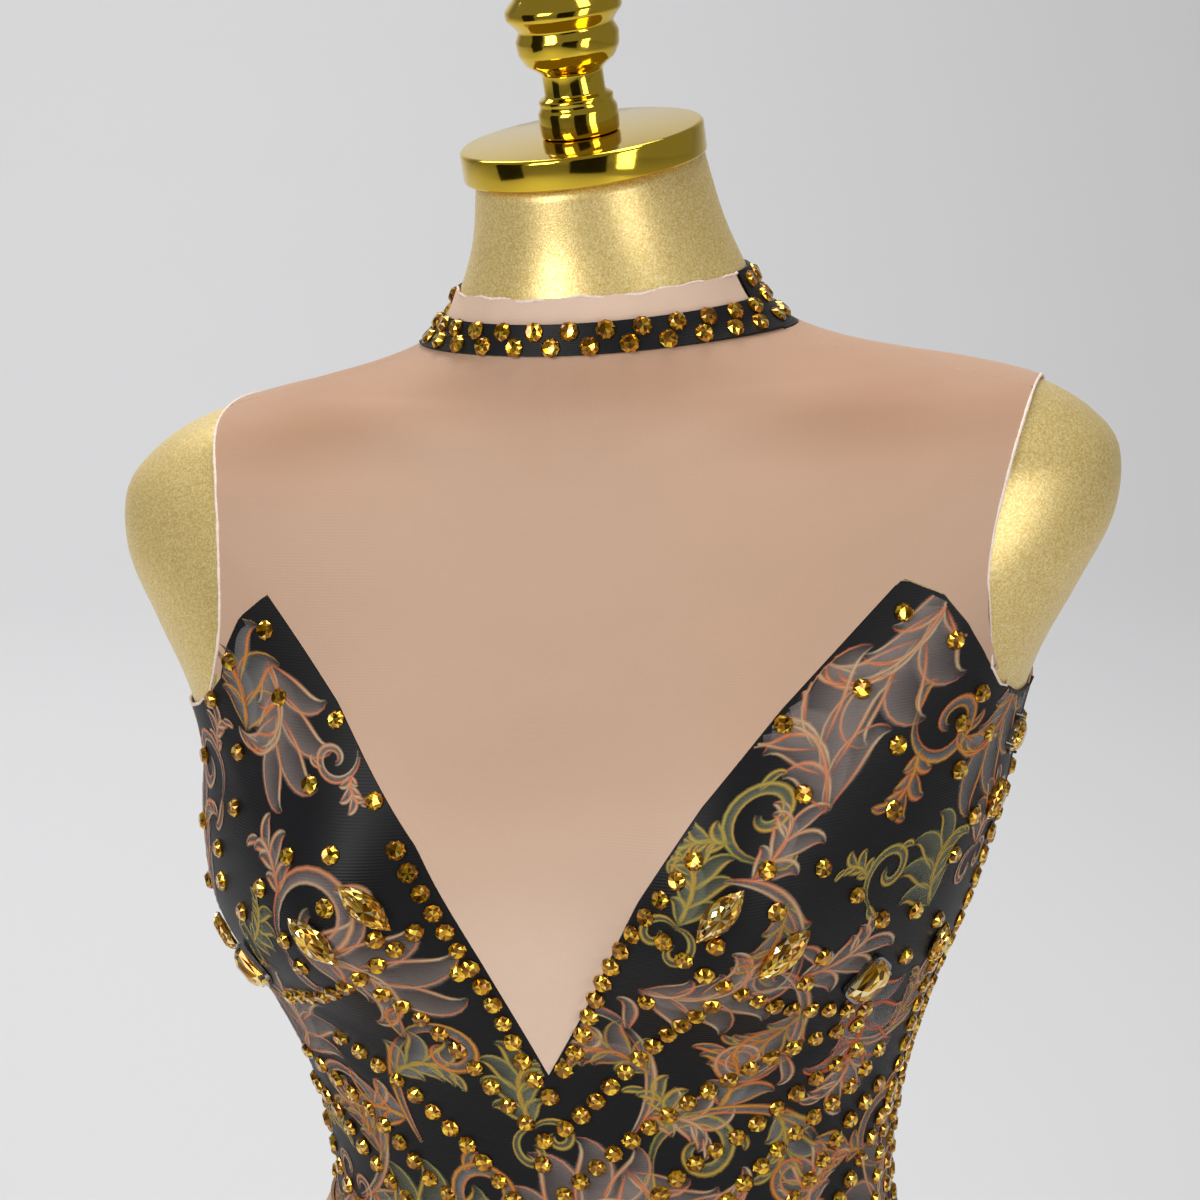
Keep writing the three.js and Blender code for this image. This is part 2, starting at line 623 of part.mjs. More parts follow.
add(dressForm, 'form_torso', toGeometry(torso), MATERIALS.satinGold);
const neckFrame = neckTopFrame();
dressForm.add(neckFrame);
add(neckFrame, 'neck_cap', turned(CAP_PROFILE, 32), MATERIALS.polishedGold);
add(neckFrame, 'finial', turned(FINIAL_PROFILE, 16), MATERIALS.polishedGold).position.z = CAP.height + SEAM;
add(dressForm, 'bottom_plate', plateGeometry(), MATERIALS.polishedGold);
add(dressForm, 'stand_pole', turned(POLE_PROFILE, 24), MATERIALS.polishedGold);
add(dressForm, 'stand_base', turned(BASE_PROFILE, 44), MATERIALS.polishedGold);

const bodysuit = new THREE.Group();
bodysuit.add(garment, dressForm);
export default bodysuit;
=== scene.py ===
# %% [markdown]
# A latin dance bodysuit worn by a gold dress form. The cloth is stretch knit, so every panel
# follows the form closely. This lesson makes the form's surface once, as a function of an angle
# and a row, and lays cloth, print, stones and fringe on it at their own small distances.

# %% Load the frame
import math
import random
import bpy
import bmesh
import numpy as np
from mathutils import Matrix, Vector


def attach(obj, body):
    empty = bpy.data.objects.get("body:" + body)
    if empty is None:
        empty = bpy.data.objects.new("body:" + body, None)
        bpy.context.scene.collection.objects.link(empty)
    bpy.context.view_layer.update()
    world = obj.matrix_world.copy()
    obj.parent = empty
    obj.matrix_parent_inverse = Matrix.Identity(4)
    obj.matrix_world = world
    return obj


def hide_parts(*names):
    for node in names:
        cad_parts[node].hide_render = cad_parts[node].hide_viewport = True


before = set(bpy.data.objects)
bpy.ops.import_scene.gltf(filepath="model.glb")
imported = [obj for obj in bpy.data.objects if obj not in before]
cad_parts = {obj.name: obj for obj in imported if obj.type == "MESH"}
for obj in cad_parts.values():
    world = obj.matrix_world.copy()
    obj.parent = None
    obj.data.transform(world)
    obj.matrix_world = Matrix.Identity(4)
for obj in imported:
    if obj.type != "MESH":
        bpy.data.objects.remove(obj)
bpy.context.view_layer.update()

MM = 0.001
random.seed(7)
print("nodes:", len(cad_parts))

# %% [markdown]
# Colours are given as on a paint chart, in sRGB hex, and one function turns them to the linear
# values that the renderer works in. The others add a shader node with its settings and links, a
# blend of two tones or a fine relief, so that each material reads as a list of what it is made of.


# %% Colour and node helpers
def linear(hex_code, alpha=1.0):
    channels = [int(hex_code[i:i + 2], 16) / 255 for i in (1, 3, 5)]
    curve = [c / 12.92 if c <= 0.04045 else ((c + 0.055) / 1.055) ** 2.4 for c in channels]
    return (*curve, alpha)


def add_node(tree, kind, settings=None, **links):
    node = tree.nodes.new(kind)
    for name, value in (settings or {}).items():
        if isinstance(name, int) or name in node.inputs:
            node.inputs[name].default_value = value
        else:
            setattr(node, name, value)
    for name, source in links.items():
        tree.links.new(source, node.inputs[name.replace("_", " ")])
    return node


def new_material(name, **settings):
    """A material with one principled shader, whose inputs are given with _ for each space."""
    material = bpy.data.materials.new(name)
    material.use_nodes = True
    tree = material.node_tree
    tree.nodes.clear()
    shader = add_node(tree, "ShaderNodeBsdfPrincipled")
    add_node(tree, "ShaderNodeOutputMaterial", Surface=shader.outputs["BSDF"])
    for key, value in settings.items():
        shader.inputs[key.replace("_", " ")].default_value = value
    return material, tree, shader


def two_tones(tree, factor, low, high):
    """A colour that runs from one tone to another as the factor goes from 0 to 1."""
    tone = add_node(tree, "ShaderNodeMix", {"data_type": "RGBA"}, Factor=factor)
    tone.inputs["A"].default_value = linear(low)
    tone.inputs["B"].default_value = linear(high)
    return tone.outputs["Result"]


def add_relief(tree, shader, height, strength, distance=0.0003):
    relief = add_node(tree, "ShaderNodeBump", {"Strength": strength, "Distance": distance}, Height=height)
    tree.links.new(relief.outputs["Normal"], shader.inputs["Normal"])


def finished_mesh(bm, name):
    """The mesh of a working copy, which is freed."""
    mesh = bpy.data.meshes.new(name)
    bm.to_mesh(mesh)
    bm.free()
    return mesh


def in_fixed_order(bm, settled=()):
    """Numbers by place what isn't settled yet, because extrude and spin mix it in each run."""
    settled = {e for e in settled if e.is_valid}
    for elements, place in ((bm.verts, lambda v: v.co), (bm.faces, lambda f: f.calc_center_median())):
        loose = [e for e in elements if e not in settled]
        loose = iter(sorted(loose, key=lambda e: tuple(round(c, 6) for c in place(e))))
        ranked = [e if e in settled else next(loose) for e in elements]
        for k, element in enumerate(ranked):
            element.index = k
        elements.sort()


def only_verts(geometry):
    return [g for g in geometry if isinstance(g, bmesh.types.BMVert)]


print("helpers ready")

# %% [markdown]
# The form is a stack of rings. Each ring has a half width, a depth in front and behind, a
# squareness and a small shift to one side, which gives the form its slightly turned pose. A
# smooth spline runs from ring to ring. Heights are measured from the waist, in millimetres.

# %% The form's surface
WAIST = 520
SECTION_COLUMNS = ("height", "half_width", "front", "back", "square", "shift")
SECTIONS = np.array([
    (-268, 2, 2, 2, 2.0, 0), (-265, 40, 30, 36, 2.0, 0), (-254, 86, 58, 72, 2.1, 0),
    (-233, 126, 80, 100, 2.2, 0), (-205, 153, 92, 114, 2.3, 0), (-172, 164, 96, 118, 2.3, 0),
    (-132, 160, 99, 112, 2.3, 1), (-88, 145, 98, 100, 2.25, 2), (-44, 123, 93, 86, 2.2, 2),
    (0, 110, 87, 77, 2.15, 2), (45, 115, 90, 75, 2.15, -1), (85, 129, 97, 80, 2.15, -4),
    (125, 147, 106, 87, 2.2, -6), (160, 155, 110, 92, 2.25, -3), (190, 158, 107, 96, 2.3, 0),
    (215, 166, 102, 98, 2.3, 0), (240, 179, 95, 97, 2.3, 0), (265, 191, 87, 94, 2.3, 0),
    (288, 192, 78, 90, 2.3, 0), (302, 182, 71, 84, 2.25, 0), (313, 165, 66, 77, 2.2, 0),
    (320, 142, 63, 70, 2.15, 0), (325, 117, 61, 64, 2.1, 0), (331, 92, 60, 58, 2.05, 0),
    (339, 71, 59, 54, 2.0, 0), (349, 60, 57, 49, 2.0, -1), (361, 54, 54, 44, 2.0, -2),
    (380, 47, 51, 38, 2.0, -4), (404, 42.5, 50, 34, 2.0, -7),
])
LAST_ROW = len(SECTIONS) - 1
BUST = {"x": 74, "height": 140, "rise": 27, "up": 62, "down": 38, "inner": 40, "outer": 48}
POSE = {"shoulder_tip": 4.2, "to": 200, "neck_tip": 2.3, "neck_forward": 8,
        "neck_from": 339, "neck_to": 404}


def spline(p0, p1, p2, p3, s):
    """The smooth line's value at the share s of the way from p1 to p2."""
    return p1 + 0.5 * s * (p2 - p0 + s * (2 * p0 - 5 * p1 + 4 * p2 - p3 + s * (3 * (p1 - p2) + p3 - p0)))


def section(row, column):
    """One column of the section table, by a smooth spline through its rows."""
    values = SECTIONS[:, SECTION_COLUMNS.index(column)]
    t = np.clip(row, 0, LAST_ROW)
    i = np.minimum(t.astype(int), LAST_ROW - 1)
    s = t - i
    return spline(*(values[np.clip(i + k, 0, LAST_ROW)] for k in (-1, 0, 1, 2)), s)


def smooth(value, low, high):
    t = np.clip((value - low) / (high - low), 0, 1)
    return t * t * (3 - 2 * t)


def bust_rise(x, height):
    drop = height - BUST["height"]
    tall = np.exp(-(drop / np.where(drop > 0, BUST["up"], BUST["down"])) ** 2)

    def mound(away):
        return np.exp(-(away / np.where(away > 0, BUST["outer"], BUST["inner"])) ** 2)

    return BUST["rise"] * tall * (1 - (1 - mound(x - BUST["x"])) * (1 - mound(-x - BUST["x"])))


def form_point(u, row):
    """Points of the form in mm above the waist; u = 0 is the centre front, 90 degrees is +X."""
    u, row = np.broadcast_arrays(np.asarray(u, float), np.asarray(row, float))
    height, power = section(row, "height"), 2 / section(row, "square")
    across, ahead = np.sin(u), np.cos(u)
    x = section(row, "half_width") * np.sign(across) * np.abs(across) ** power
    depth = np.where(ahead > 0, section(row, "front"), section(row, "back"))
    y = -depth * np.sign(ahead) * np.abs(ahead) ** power
    y = y - bust_rise(x, height) * np.clip(3 * ahead, 0, 1)
    neck = smooth(height, POSE["neck_from"], POSE["neck_to"])
    tip = np.radians(POSE["shoulder_tip"] * smooth(height, 0, POSE["to"]) + POSE["neck_tip"] * neck)
    forward = np.radians(POSE["neck_forward"] * neck)
    return np.stack([x * np.cos(tip) + section(row, "shift"), y,
                     height + x * np.sin(tip) + y * np.sin(forward)], -1)


def form_normal(u, row):
    u, row = np.broadcast_arrays(np.asarray(u, float), np.asarray(row, float))
    across = form_point(u + 0.01, row) - form_point(u - 0.01, row)
    up = form_point(u, np.minimum(row + 0.02, LAST_ROW)) - form_point(u, np.maximum(row - 0.02, 0))
    normal = np.cross(across, up)
    return normal / np.maximum(np.linalg.norm(normal, axis=-1, keepdims=True), 1e-9)


ROW_TABLE = np.linspace(0, LAST_ROW, 4001)
HEIGHT_TABLE = section(ROW_TABLE, "height")


def row_at(height):
    return np.interp(height, HEIGHT_TABLE, ROW_TABLE)


print("rings:", len(SECTIONS))

# %% [markdown]
# Stretch cloth shows its tension: short soft ridges run out from under the arms and from the
# side of the bust, where the flat knit has to turn a corner. Each crease is a line on the front
# or the back, given by its two ends, with its own height and width, no two alike.

# %% Creases in the cloth
CREASE_COLUMNS = ("side", "x0", "z0", "x1", "z1", "high", "wide")
CREASES = [
    (-1, -118, 96, -74, 66, 1.5, 4.0), (-1, -116, 106, -66, 82, 1.2, 3.6),
    (-1, -112, 84, -80, 48, 1.3, 4.4), (-1, -104, 72, -86, 30, 0.9, 4.0),
    (-1, 112, 98, 64, 66, 1.5, 4.4), (-1, 114, 108, 60, 84, 1.1, 3.6),
    (-1, 110, 88, 76, 44, 1.4, 4.4), (-1, 104, 76, 84, 24, 1.0, 4.0),
    (-1, 134, 200, 112, 176, 0.5, 5.0), (-1, -130, 190, -108, 168, 0.5, 5.0),
    (-1, -18, 300, -112, 318, 1.9, 9.0), (-1, 18, 303, 118, 330, 1.9, 9.0),
    (-1, 132, 300, 104, 276, 0.4, 6.0), (-1, -126, 262, -100, 242, 0.35, 6.0),
    (1, -124, 150, -80, 122, 0.7, 6.0), (1, 126, 156, 76, 124, 0.8, 6.0),
    (1, -96, 30, -30, 12, 0.9, 6.0), (1, 94, 34, 28, 18, 0.8, 6.0), (1, -86, 52, -22, 40, 0.7, 5.5),
    (1, 88, 58, 26, 46, 0.7, 5.5), (1, -118, 250, -92, 222, 0.5, 7.0),
    (1, 122, 258, 94, 228, 0.5, 7.0),
]


def crease_height(point):
    total = np.zeros(point.shape[:-1])
    for values in CREASES:
        c = dict(zip(CREASE_COLUMNS, values))
        along = np.array([c["x1"] - c["x0"], c["z1"] - c["z0"]], float)
        from_start = point[..., [0, 2]] - np.array([c["x0"], c["z0"]], float)
        t = np.clip(from_start @ along / (along @ along), 0, 1)
        away = np.linalg.norm(from_start - t[..., None] * along, axis=-1)
        here = np.exp(-(away / c["wide"]) ** 2) * (1 - 0.75 * t) * (point[..., 1] * c["side"] > 0)
        total = total + c["high"] * here
    return total


def on_cloth(u, row, out, creased=True):
    """Points at a distance out from the form, in metres in the object's frame."""
    point = form_point(u, row)
    lift = out + (crease_height(point) if creased else 0)
    placed = point + form_normal(u, row) * np.asarray(lift)[..., None]
    return (placed + np.array([0, 0, WAIST])) * MM


print("creases:", len(CREASES))

# %% [markdown]
# A panel starts as a grid laid over a stretch of the form. Its cut is a closed outline seen from
# the front. Faces outside the outline are dropped and the last row of points slides along the
# surface onto the line, so the edge is as clean as a scissor cut. Solidify gives the thickness.

# %% Outlines of the cut
FAR = 260
SEAM = 0.3
FRONT_TOP = [
    (-FAR, 203), (-140, 205), (-131, 216), (-128, 228), (-122, 240), (-110, 250), (-77, 216), (-43, 170),
    (-22, 127), (0, 80), (21, 120), (39, 157), (60, 191), (84, 223), (122, 267), (136, 261), (144, 250),
    (149, 239), (154, 224), (166, 214), (FAR, 214),
]
BACK_TOP = [(-FAR, 196), (-150, 196), (-80, 184), (0, 158), (84, 192), (160, 208), (FAR, 208)]
ARMHOLES = [
    [(-156, 330), (-144, 304), (-135, 281), (-131, 252), (-131, 230), (-136, 211), (-147, 199), (-165, 195),
     (-FAR, 195), (-FAR, 330)],
    [(166, 350), (156, 304), (151, 278), (150, 256), (152, 236), (157, 219), (164, 210), (175, 207),
     (FAR, 207), (FAR, 350)],
]
LEG_FRONT = [
    (28, -300), (28, -262), (36, -240), (56, -205), (92, -165), (136, -128), (FAR, -100), (FAR, -300),
]
LEG_BACK = [
    (28, -300), (28, -264), (48, -252), (92, -226), (126, -180), (148, -138), (FAR, -96), (FAR, -300),
]
SHOULDER_SEAM_Y = -15
# Heights at which the side seam gives way to the shoulder seam, and at which the nape slit ends.
UNDERARM_TOP, SLIT_FOOT, NAPE_X = 280, 236, -1
# A distance that stands for well inside the cut.
CLEAR = 5
BAND_BOTTOM, BAND_TOP, COLLAR_TOP = 339, 350.5, 361


def rounded(outline, times=1):
    """Corner cutting, so that a short outline reads as a smooth tailor's line."""
    points = [np.array(p, float) for p in outline]
    for _ in range(times):
        cut = []
        for a, b in zip(points, points[1:] + points[:1]):
            cut += [0.75 * a + 0.25 * b, 0.25 * a + 0.75 * b]
        points = cut
    return points


def inside(outline, point):
    """Signed distance in mm to a closed outline in x and z, positive inside it."""
    px, pz = point[..., 0], point[..., 2]
    nearest = np.full(px.shape, 1e9)
    odd = np.zeros(px.shape, bool)
    for (x0, z0), (x1, z1) in zip(outline, outline[1:] + outline[:1]):
        dx, dz = x1 - x0, z1 - z0
        t = np.clip(((px - x0) * dx + (pz - z0) * dz) / (dx * dx + dz * dz), 0, 1)
        nearest = np.minimum(nearest, np.hypot(px - x0 - t * dx, pz - z0 - t * dz))
        if z0 != z1:
            crosses = (z0 > pz) != (z1 > pz)
            odd ^= crosses & (px < x0 + (pz - z0) * dx / dz)
    return np.where(odd, nearest, -nearest)


def mirrored(outline):
    return [(-x, z) for x, z in reversed(outline)]


SKY = 460
FRONT_ABOVE = FRONT_TOP + [(FAR, SKY), (-FAR, SKY)]
BACK_ABOVE = BACK_TOP + [(FAR, SKY), (-FAR, SKY)]
ARM_CUTS = [[tuple(p) for p in rounded(hole)] for hole in ARMHOLES]


def clear_of(outlines, point):
    return np.min([-inside(outline, point) for outline in outlines], axis=0)


print("outlines ready")


# %% Panel builder
CLOTH_OUT = 1.45
CLOTH_WALL = 1.1
# Metres of cloth to a radian round the body, at which the weave is spread.
WEAVE_REACH = 0.13


def arc_rows(low, high, count, u=0.9):
    """Rows between two heights, evenly spaced along the cloth."""
    rows = np.linspace(row_at(low), row_at(high), 1600)
    steps = np.linalg.norm(np.diff(form_point(u, rows), axis=0), axis=1)
    length = np.concatenate([[0], np.cumsum(steps)])
    return np.interp(np.linspace(0, length[-1], count + 1), length, rows)


def slide_to_cut(u, row, trim):
    """Moves points along the surface until they lie on the cut's line."""
    u, row = u.copy(), row.copy()
    du, dr = 0.004, 0.01
    for _ in range(5):
        size_u = np.linalg.norm(form_point(u + du, row) - form_point(u - du, row), axis=1) / (2 * du)
        size_r = np.linalg.norm(form_point(u, row + dr) - form_point(u, row - dr), axis=1) / (2 * dr)
        slope_u = (trim(form_point(u + du, row)) - trim(form_point(u - du, row))) / (2 * du * size_u)
        slope_r = (trim(form_point(u, row + dr)) - trim(form_point(u, row - dr))) / (2 * dr * size_r)
        step = -trim(form_point(u, row)) / np.maximum(slope_u ** 2 + slope_r ** 2, 0.2)
        step = np.clip(step, -1.2, 1.2)
        u += step * slope_u / size_u
        row += step * slope_r / size_r
    return u, row


def cut_grid(bm, u, row, trim, near=0.7):
    """Cuts a grid along the line: close points move onto it, edges that cross it are split."""
    depth = trim(form_point(u, row))
    close = np.abs(depth) < near
    if close.any():
        u[close], row[close] = slide_to_cut(u[close], row[close], trim)
        depth[close] = 0
    bm.verts.ensure_lookup_table()
    crossing = [e for e in bm.edges if depth[e.verts[0].index] * depth[e.verts[1].index] < 0]
    new_u, new_row, made = [], [], []
    for edge in crossing:
        first, last = edge.verts
        share = depth[first.index] / (depth[first.index] - depth[last.index])
        new_u.append(u[first.index] + share * (u[last.index] - u[first.index]))
        new_row.append(row[first.index] + share * (row[last.index] - row[first.index]))
        made.append(bmesh.utils.edge_split(edge, first, share)[1])
    start = len(u)
    if made:
        more_u, more_row = slide_to_cut(np.array(new_u), np.array(new_row), trim)
        u, row = np.append(u, more_u), np.append(row, more_row)
        depth = np.append(depth, np.zeros(len(made)))
    for k, vert in enumerate(made):
        vert.index = start + k
    on_line = [v for v in bm.verts if depth[v.index] == 0]
    bmesh.ops.connect_verts(bm, verts=on_line)
    outside = [f for f in bm.faces if sum(depth[v.index] for v in f.verts) <= 0]
    order = [(v, v.index) for v in bm.verts]
    bmesh.ops.delete(bm, geom=outside, context="FACES")
    kept = [(v, i) for v, i in order if v.is_valid]
    return kept, u, row


def link_piece(name, mesh, material=None, flat=False):
    """Makes an object of a mesh, links it and lets it ride with the part."""
    if material:
        mesh.materials.append(material)
    if flat:
        mesh.shade_flat()
    else:
        mesh.shade_smooth()
    piece = bpy.data.objects.new(name, mesh)
    bpy.context.collection.objects.link(piece)
    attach(piece, "root")
    print(f"{name}: {len(mesh.polygons)} faces")
    return piece


def make_panel(name, span, heights, cells, trim, out=CLOTH_OUT, wall=CLOTH_WALL, creased=True):
    """A cloth panel: span in degrees, heights in mm, cells round and up, trim(point) > 0 kept."""
    bm = bmesh.new()
    bmesh.ops.create_grid(bm, x_segments=cells[0], y_segments=cells[1], size=0.5)
    bm.verts.index_update()
    grid = np.array([v.co for v in bm.verts])
    rows = arc_rows(*heights, cells[1])
    u = np.radians(span[0] + (grid[:, 0] + 0.5) * (span[1] - span[0]))
    row = np.interp((grid[:, 1] + 0.5) * cells[1], np.arange(cells[1] + 1), rows)
    kept, u, row = cut_grid(bm, u, row, trim)
    places = on_cloth(u, row, out, creased)
    reach = np.linalg.norm(np.diff(form_point(0.9, rows), axis=0), axis=1).sum() * MM
    level = np.interp(row, rows, np.linspace(0, reach, len(rows)))
    coordinates = {}
    for vert, i in kept:
        vert.co = places[i]
        coordinates[vert] = (u[i] * WEAVE_REACH, level[i])
    weave = bm.loops.layers.uv.new("weave")
    for face in bm.faces:
        for loop in face.loops:
            loop[weave].uv = coordinates[loop.vert]
    bmesh.ops.remove_doubles(bm, verts=bm.verts, dist=0.00005)
    bm.normal_update()
    for edge in bm.edges:
        edge.smooth = not edge.is_boundary
    piece = link_piece(name, finished_mesh(bm, name))
    solid = piece.modifiers.new("cloth thickness", "SOLIDIFY")
    solid.thickness = wall * MM
    solid.offset = -1
    return piece


# %% [markdown]
# Stretch mesh in a skin colour: a warp-knitted power net. Close to, it is a fine even grid of
# holes; from a step away only a dry, matt bloom shows. Where it is pulled tight over the gold
# form, at the neck and shoulders, it looks browner, so a painted attribute browns it there. The
# same attribute also holds painted shade: darker under the neck and in the hollows by the shoulders.

# %% Skin-coloured stretch mesh
def nude_mesh_material():
    material, tree, shader = new_material(
        "skin-coloured power net", Roughness=0.62, Sheen_Weight=0.35, Sheen_Roughness=0.5,
        Sheen_Tint=linear("#ffe3cc"))
    uv = add_node(tree, "ShaderNodeUVMap", {"uv_map": "weave"})
    # The net's tone, browner where stretched, with painted shade under the neck and by the shoulders.
    shade = add_node(tree, "ShaderNodeAttribute", {"attribute_name": "stretch_and_shade"})
    tone = two_tones(tree, shade.outputs["Fac"], "#e7ccb6", "#9b683f")
    blotch = add_node(tree, "ShaderNodeTexNoise", {"Scale": 22.0, "Detail": 2.0}, Vector=uv.outputs["UV"])
    soft = add_node(tree, "ShaderNodeMapRange", {"To Min": 0.75, "To Max": 1.1}, Value=blotch.outputs["Fac"])
    mixed = add_node(tree, "ShaderNodeMix", {"data_type": "RGBA", "blend_type": "MULTIPLY", "Factor": 0.25},
                     A=tone, B=soft.outputs["Result"])
    # A net of about 1 mm cells, coarser than the real 0.5 mm one so that it shows.
    net = add_node(tree, "ShaderNodeTexVoronoi", {"Scale": 900.0, "Randomness": 0.15},
                   Vector=uv.outputs["UV"])
    add_relief(tree, shader, net.outputs["Distance"], 0.22, 0.0004)
    tree.links.new(mixed.outputs["Result"], shader.inputs["Base Color"])
    return material


NUDE = nude_mesh_material()
print("material:", NUDE.name)

# %% [markdown]
# The front yoke runs from the collar's raw edge down to the plunging line, and the back yoke
# mirrors it to a shallow V with a short slit at the nape. They meet in the shoulder seam, which
# sits a little forward of the shoulder's ridge.


# %% Yokes
def yoke_front_trim(point):
    seam = SHOULDER_SEAM_Y - SEAM / 2 - point[..., 1]
    return np.minimum.reduce([inside(FRONT_ABOVE, point), clear_of(ARM_CUTS, point), seam])


def yoke_back_trim(point):
    over_armhole = point[..., 2] > UNDERARM_TOP
    seam = point[..., 1] - np.where(over_armhole, SHOULDER_SEAM_Y, 0) - SEAM / 2
    slit = np.where(point[..., 2] > SLIT_FOOT, np.abs(point[..., 0] - NAPE_X) - SEAM, CLEAR)
    return np.minimum.reduce([inside(BACK_ABOVE, point), clear_of(ARM_CUTS, point), seam, slit])


yoke_front = make_panel("yoke_front_cloth", (-95, 95), (70, COLLAR_TOP), (140, 140), yoke_front_trim)
yoke_back = make_panel("yoke_back_cloth", (75, 285), (150, BAND_BOTTOM - 0.3), (170, 110), yoke_back_trim)


def paint_stretch_and_shade(piece):
    """Browner where the net is stretched hardest: neck, shoulders and the armhole's edge; partly painted
    shade.
    """
    mesh = piece.data
    count = len(mesh.vertices)
    places = np.empty(count * 3)
    mesh.vertices.foreach_get("co", places)
    point = places.reshape(-1, 3) / MM - np.array([0, 0, WAIST])
    height = point[:, 2] - 0.073 * point[:, 0]
    # Painted shade under the neck and by the shoulders, on top of the stretched net's browner tone.
    near_neck = np.exp(-((height - 330) / 16) ** 2) * np.exp(-(np.abs(point[:, 0]) / 110) ** 4)
    shoulder = smooth(height, 280, 325) * smooth(np.abs(point[:, 0]), 40, 120)
    chest = smooth(height, 105, 215)
    collar = smooth(height, 347, 354)
    value = np.clip(0.14 + 0.44 * chest + 0.14 * near_neck + 0.24 * shoulder - 0.36 * collar, 0, 1)
    layer = mesh.attributes.new("stretch_and_shade", "FLOAT", "POINT")
    layer.data.foreach_set("value", value)


for piece in (yoke_front, yoke_back):
    paint_stretch_and_shade(piece)
    piece.data.materials.append(NUDE)
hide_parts("yoke_front")
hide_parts("yoke_back")

# %% [markdown]
# The body is black stretch knit: nylon and elastane, with fine ribs across and a slight sheen.
# The print is a second skin of ink, so its material is the same knit and only the colour
# changes. One builder makes both, with or without the ink.


# %% Black stretch knit, plain and printed
def knit_material(name, inked):
    material, tree, shader = new_material(
        name, Roughness=0.5, Specular_IOR_Level=0.23, Sheen_Weight=0.04, Sheen_Roughness=0.4,
        Sheen_Tint=linear("#b9b6c4"))
    uv = add_node(tree, "ShaderNodeUVMap", {"uv_map": "weave"})
    cloud = add_node(tree, "ShaderNodeTexNoise", {"Scale": 30.0, "Detail": 3.0}, Vector=uv.outputs["UV"])
    colour = two_tones(tree, cloud.outputs["Fac"], "#060608", "#0f0e12")
    if inked:
        ink = add_node(tree, "ShaderNodeAttribute", {"attribute_name": "ink"})
        # The ink's cover runs from 0.62 to 1.12 times what the stroke asks for, in soft patches.
        patchy = add_node(tree, "ShaderNodeMath", {"operation": "MULTIPLY_ADD", 1: 0.5, 2: 0.62},
                          Value=cloud.outputs["Fac"])
        thin = add_node(tree, "ShaderNodeMath", {"operation": "MULTIPLY"})
        tree.links.new(ink.outputs["Alpha"], thin.inputs[0])
        tree.links.new(patchy.outputs["Value"], thin.inputs[1])
        tree.links.new(thin.outputs["Value"], shader.inputs["Alpha"])
        colour = ink.outputs["Color"]
    # Courses of knitting every 1.2 mm, about twice the real spacing so that they show.
    ribs = add_node(tree, "ShaderNodeTexWave", {"wave_type": "BANDS", "bands_direction": "Y", "Scale": 262.0,
                                                "Distortion": 0.6, "Detail": 1.0, "Detail Scale": 4.0},
                    Vector=uv.outputs["UV"])
    add_relief(tree, shader, ribs.outputs["Fac"], 0.22)
    tree.links.new(colour, shader.inputs["Base Color"])
    return material


KNIT = knit_material("black stretch knit", inked=False)
INKED = knit_material("black stretch knit, printed", inked=True)
print("materials:", KNIT.name, "and", INKED.name)


# %% Bodice front and back
def bodice_front_trim(point):
    legs = clear_of([LEG_FRONT, mirrored(LEG_FRONT)], point)
    return np.minimum.reduce([-inside(FRONT_ABOVE, point) - SEAM, clear_of(ARM_CUTS, point), legs,
                              -SEAM / 2 - point[..., 1]])


def bodice_back_trim(point):
    legs = clear_of([LEG_BACK, mirrored(LEG_BACK)], point)
    return np.minimum.reduce([-inside(BACK_ABOVE, point) - SEAM, clear_of(ARM_CUTS, point), legs,
                              point[..., 1] - SEAM / 2])


bodice_front = make_panel("bodice_front_cloth", (-91, 91), (-264, 290), (150, 220), bodice_front_trim)
bodice_back = make_panel("bodice_back_cloth", (89, 271), (-264, 230), (140, 200), bodice_back_trim)
for piece in (bodice_front, bodice_back):
    piece.data.materials.append(KNIT)
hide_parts("bodice_front")
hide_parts("bodice_back")

# %% [markdown]
# The collar is the yoke's own top, and a black band is sewn round it in front. Behind, from
# shoulder seam to shoulder seam, the collar itself is black and taller, and closes at the nape
# with three small hooks.


# %% Neck bands
def everywhere(point):
    return np.full(point.shape[:-1], float(CLEAR))


band_front = make_panel("neck_band_front_cloth", (-76, 76), (BAND_BOTTOM, BAND_TOP), (110, 8),
                        everywhere, out=2.75, wall=1.0, creased=False)
band_left = make_panel("neck_band_back_left_cloth", (76.8, 179.5), (BAND_BOTTOM, COLLAR_TOP), (74, 14),
                       everywhere, creased=False)
band_right = make_panel("neck_band_back_right_cloth", (180.5, 283.2), (BAND_BOTTOM, COLLAR_TOP), (74, 14),
                        everywhere, creased=False)
for piece, node in ((band_front, "neck_band_front"), (band_left, "neck_band_back_left"),
                    (band_right, "neck_band_back_right")):
    piece.data.materials.append(KNIT)
    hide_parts(node)

# %% [markdown]
# The stretch mesh is cut and not hemmed, so at the collar and the armholes a pale, slightly
# curled edge shows. It is a thin uneven cord of the mesh's own threads. A curve with a round
# bevel gives it, and small random steps keep it from looking like piping.


# %% Raw edges of the mesh
def tube(name, paths, radius, material, sides=1, cyclic=False, wobble=0.0):
    data = bpy.data.curves.new(name, "CURVE")
    data.dimensions = "3D"
    data.bevel_depth = radius
    data.bevel_resolution = sides
    data.use_fill_caps = True
    for path in paths:
        spline = data.splines.new("POLY")
        spline.points.add(len(path) - 1)
        for point, place in zip(spline.points, path):
            point.co = (*place, 1)
            point.radius = 1 + wobble * random.uniform(-1, 1)
        spline.use_cyclic_u = cyclic
    curve = bpy.data.objects.new(name, data)
    mesh = bpy.data.meshes.new_from_object(curve)
    bpy.data.objects.remove(curve)
    mesh.name = name
    mesh.materials.clear()
    return link_piece(name, mesh, material)


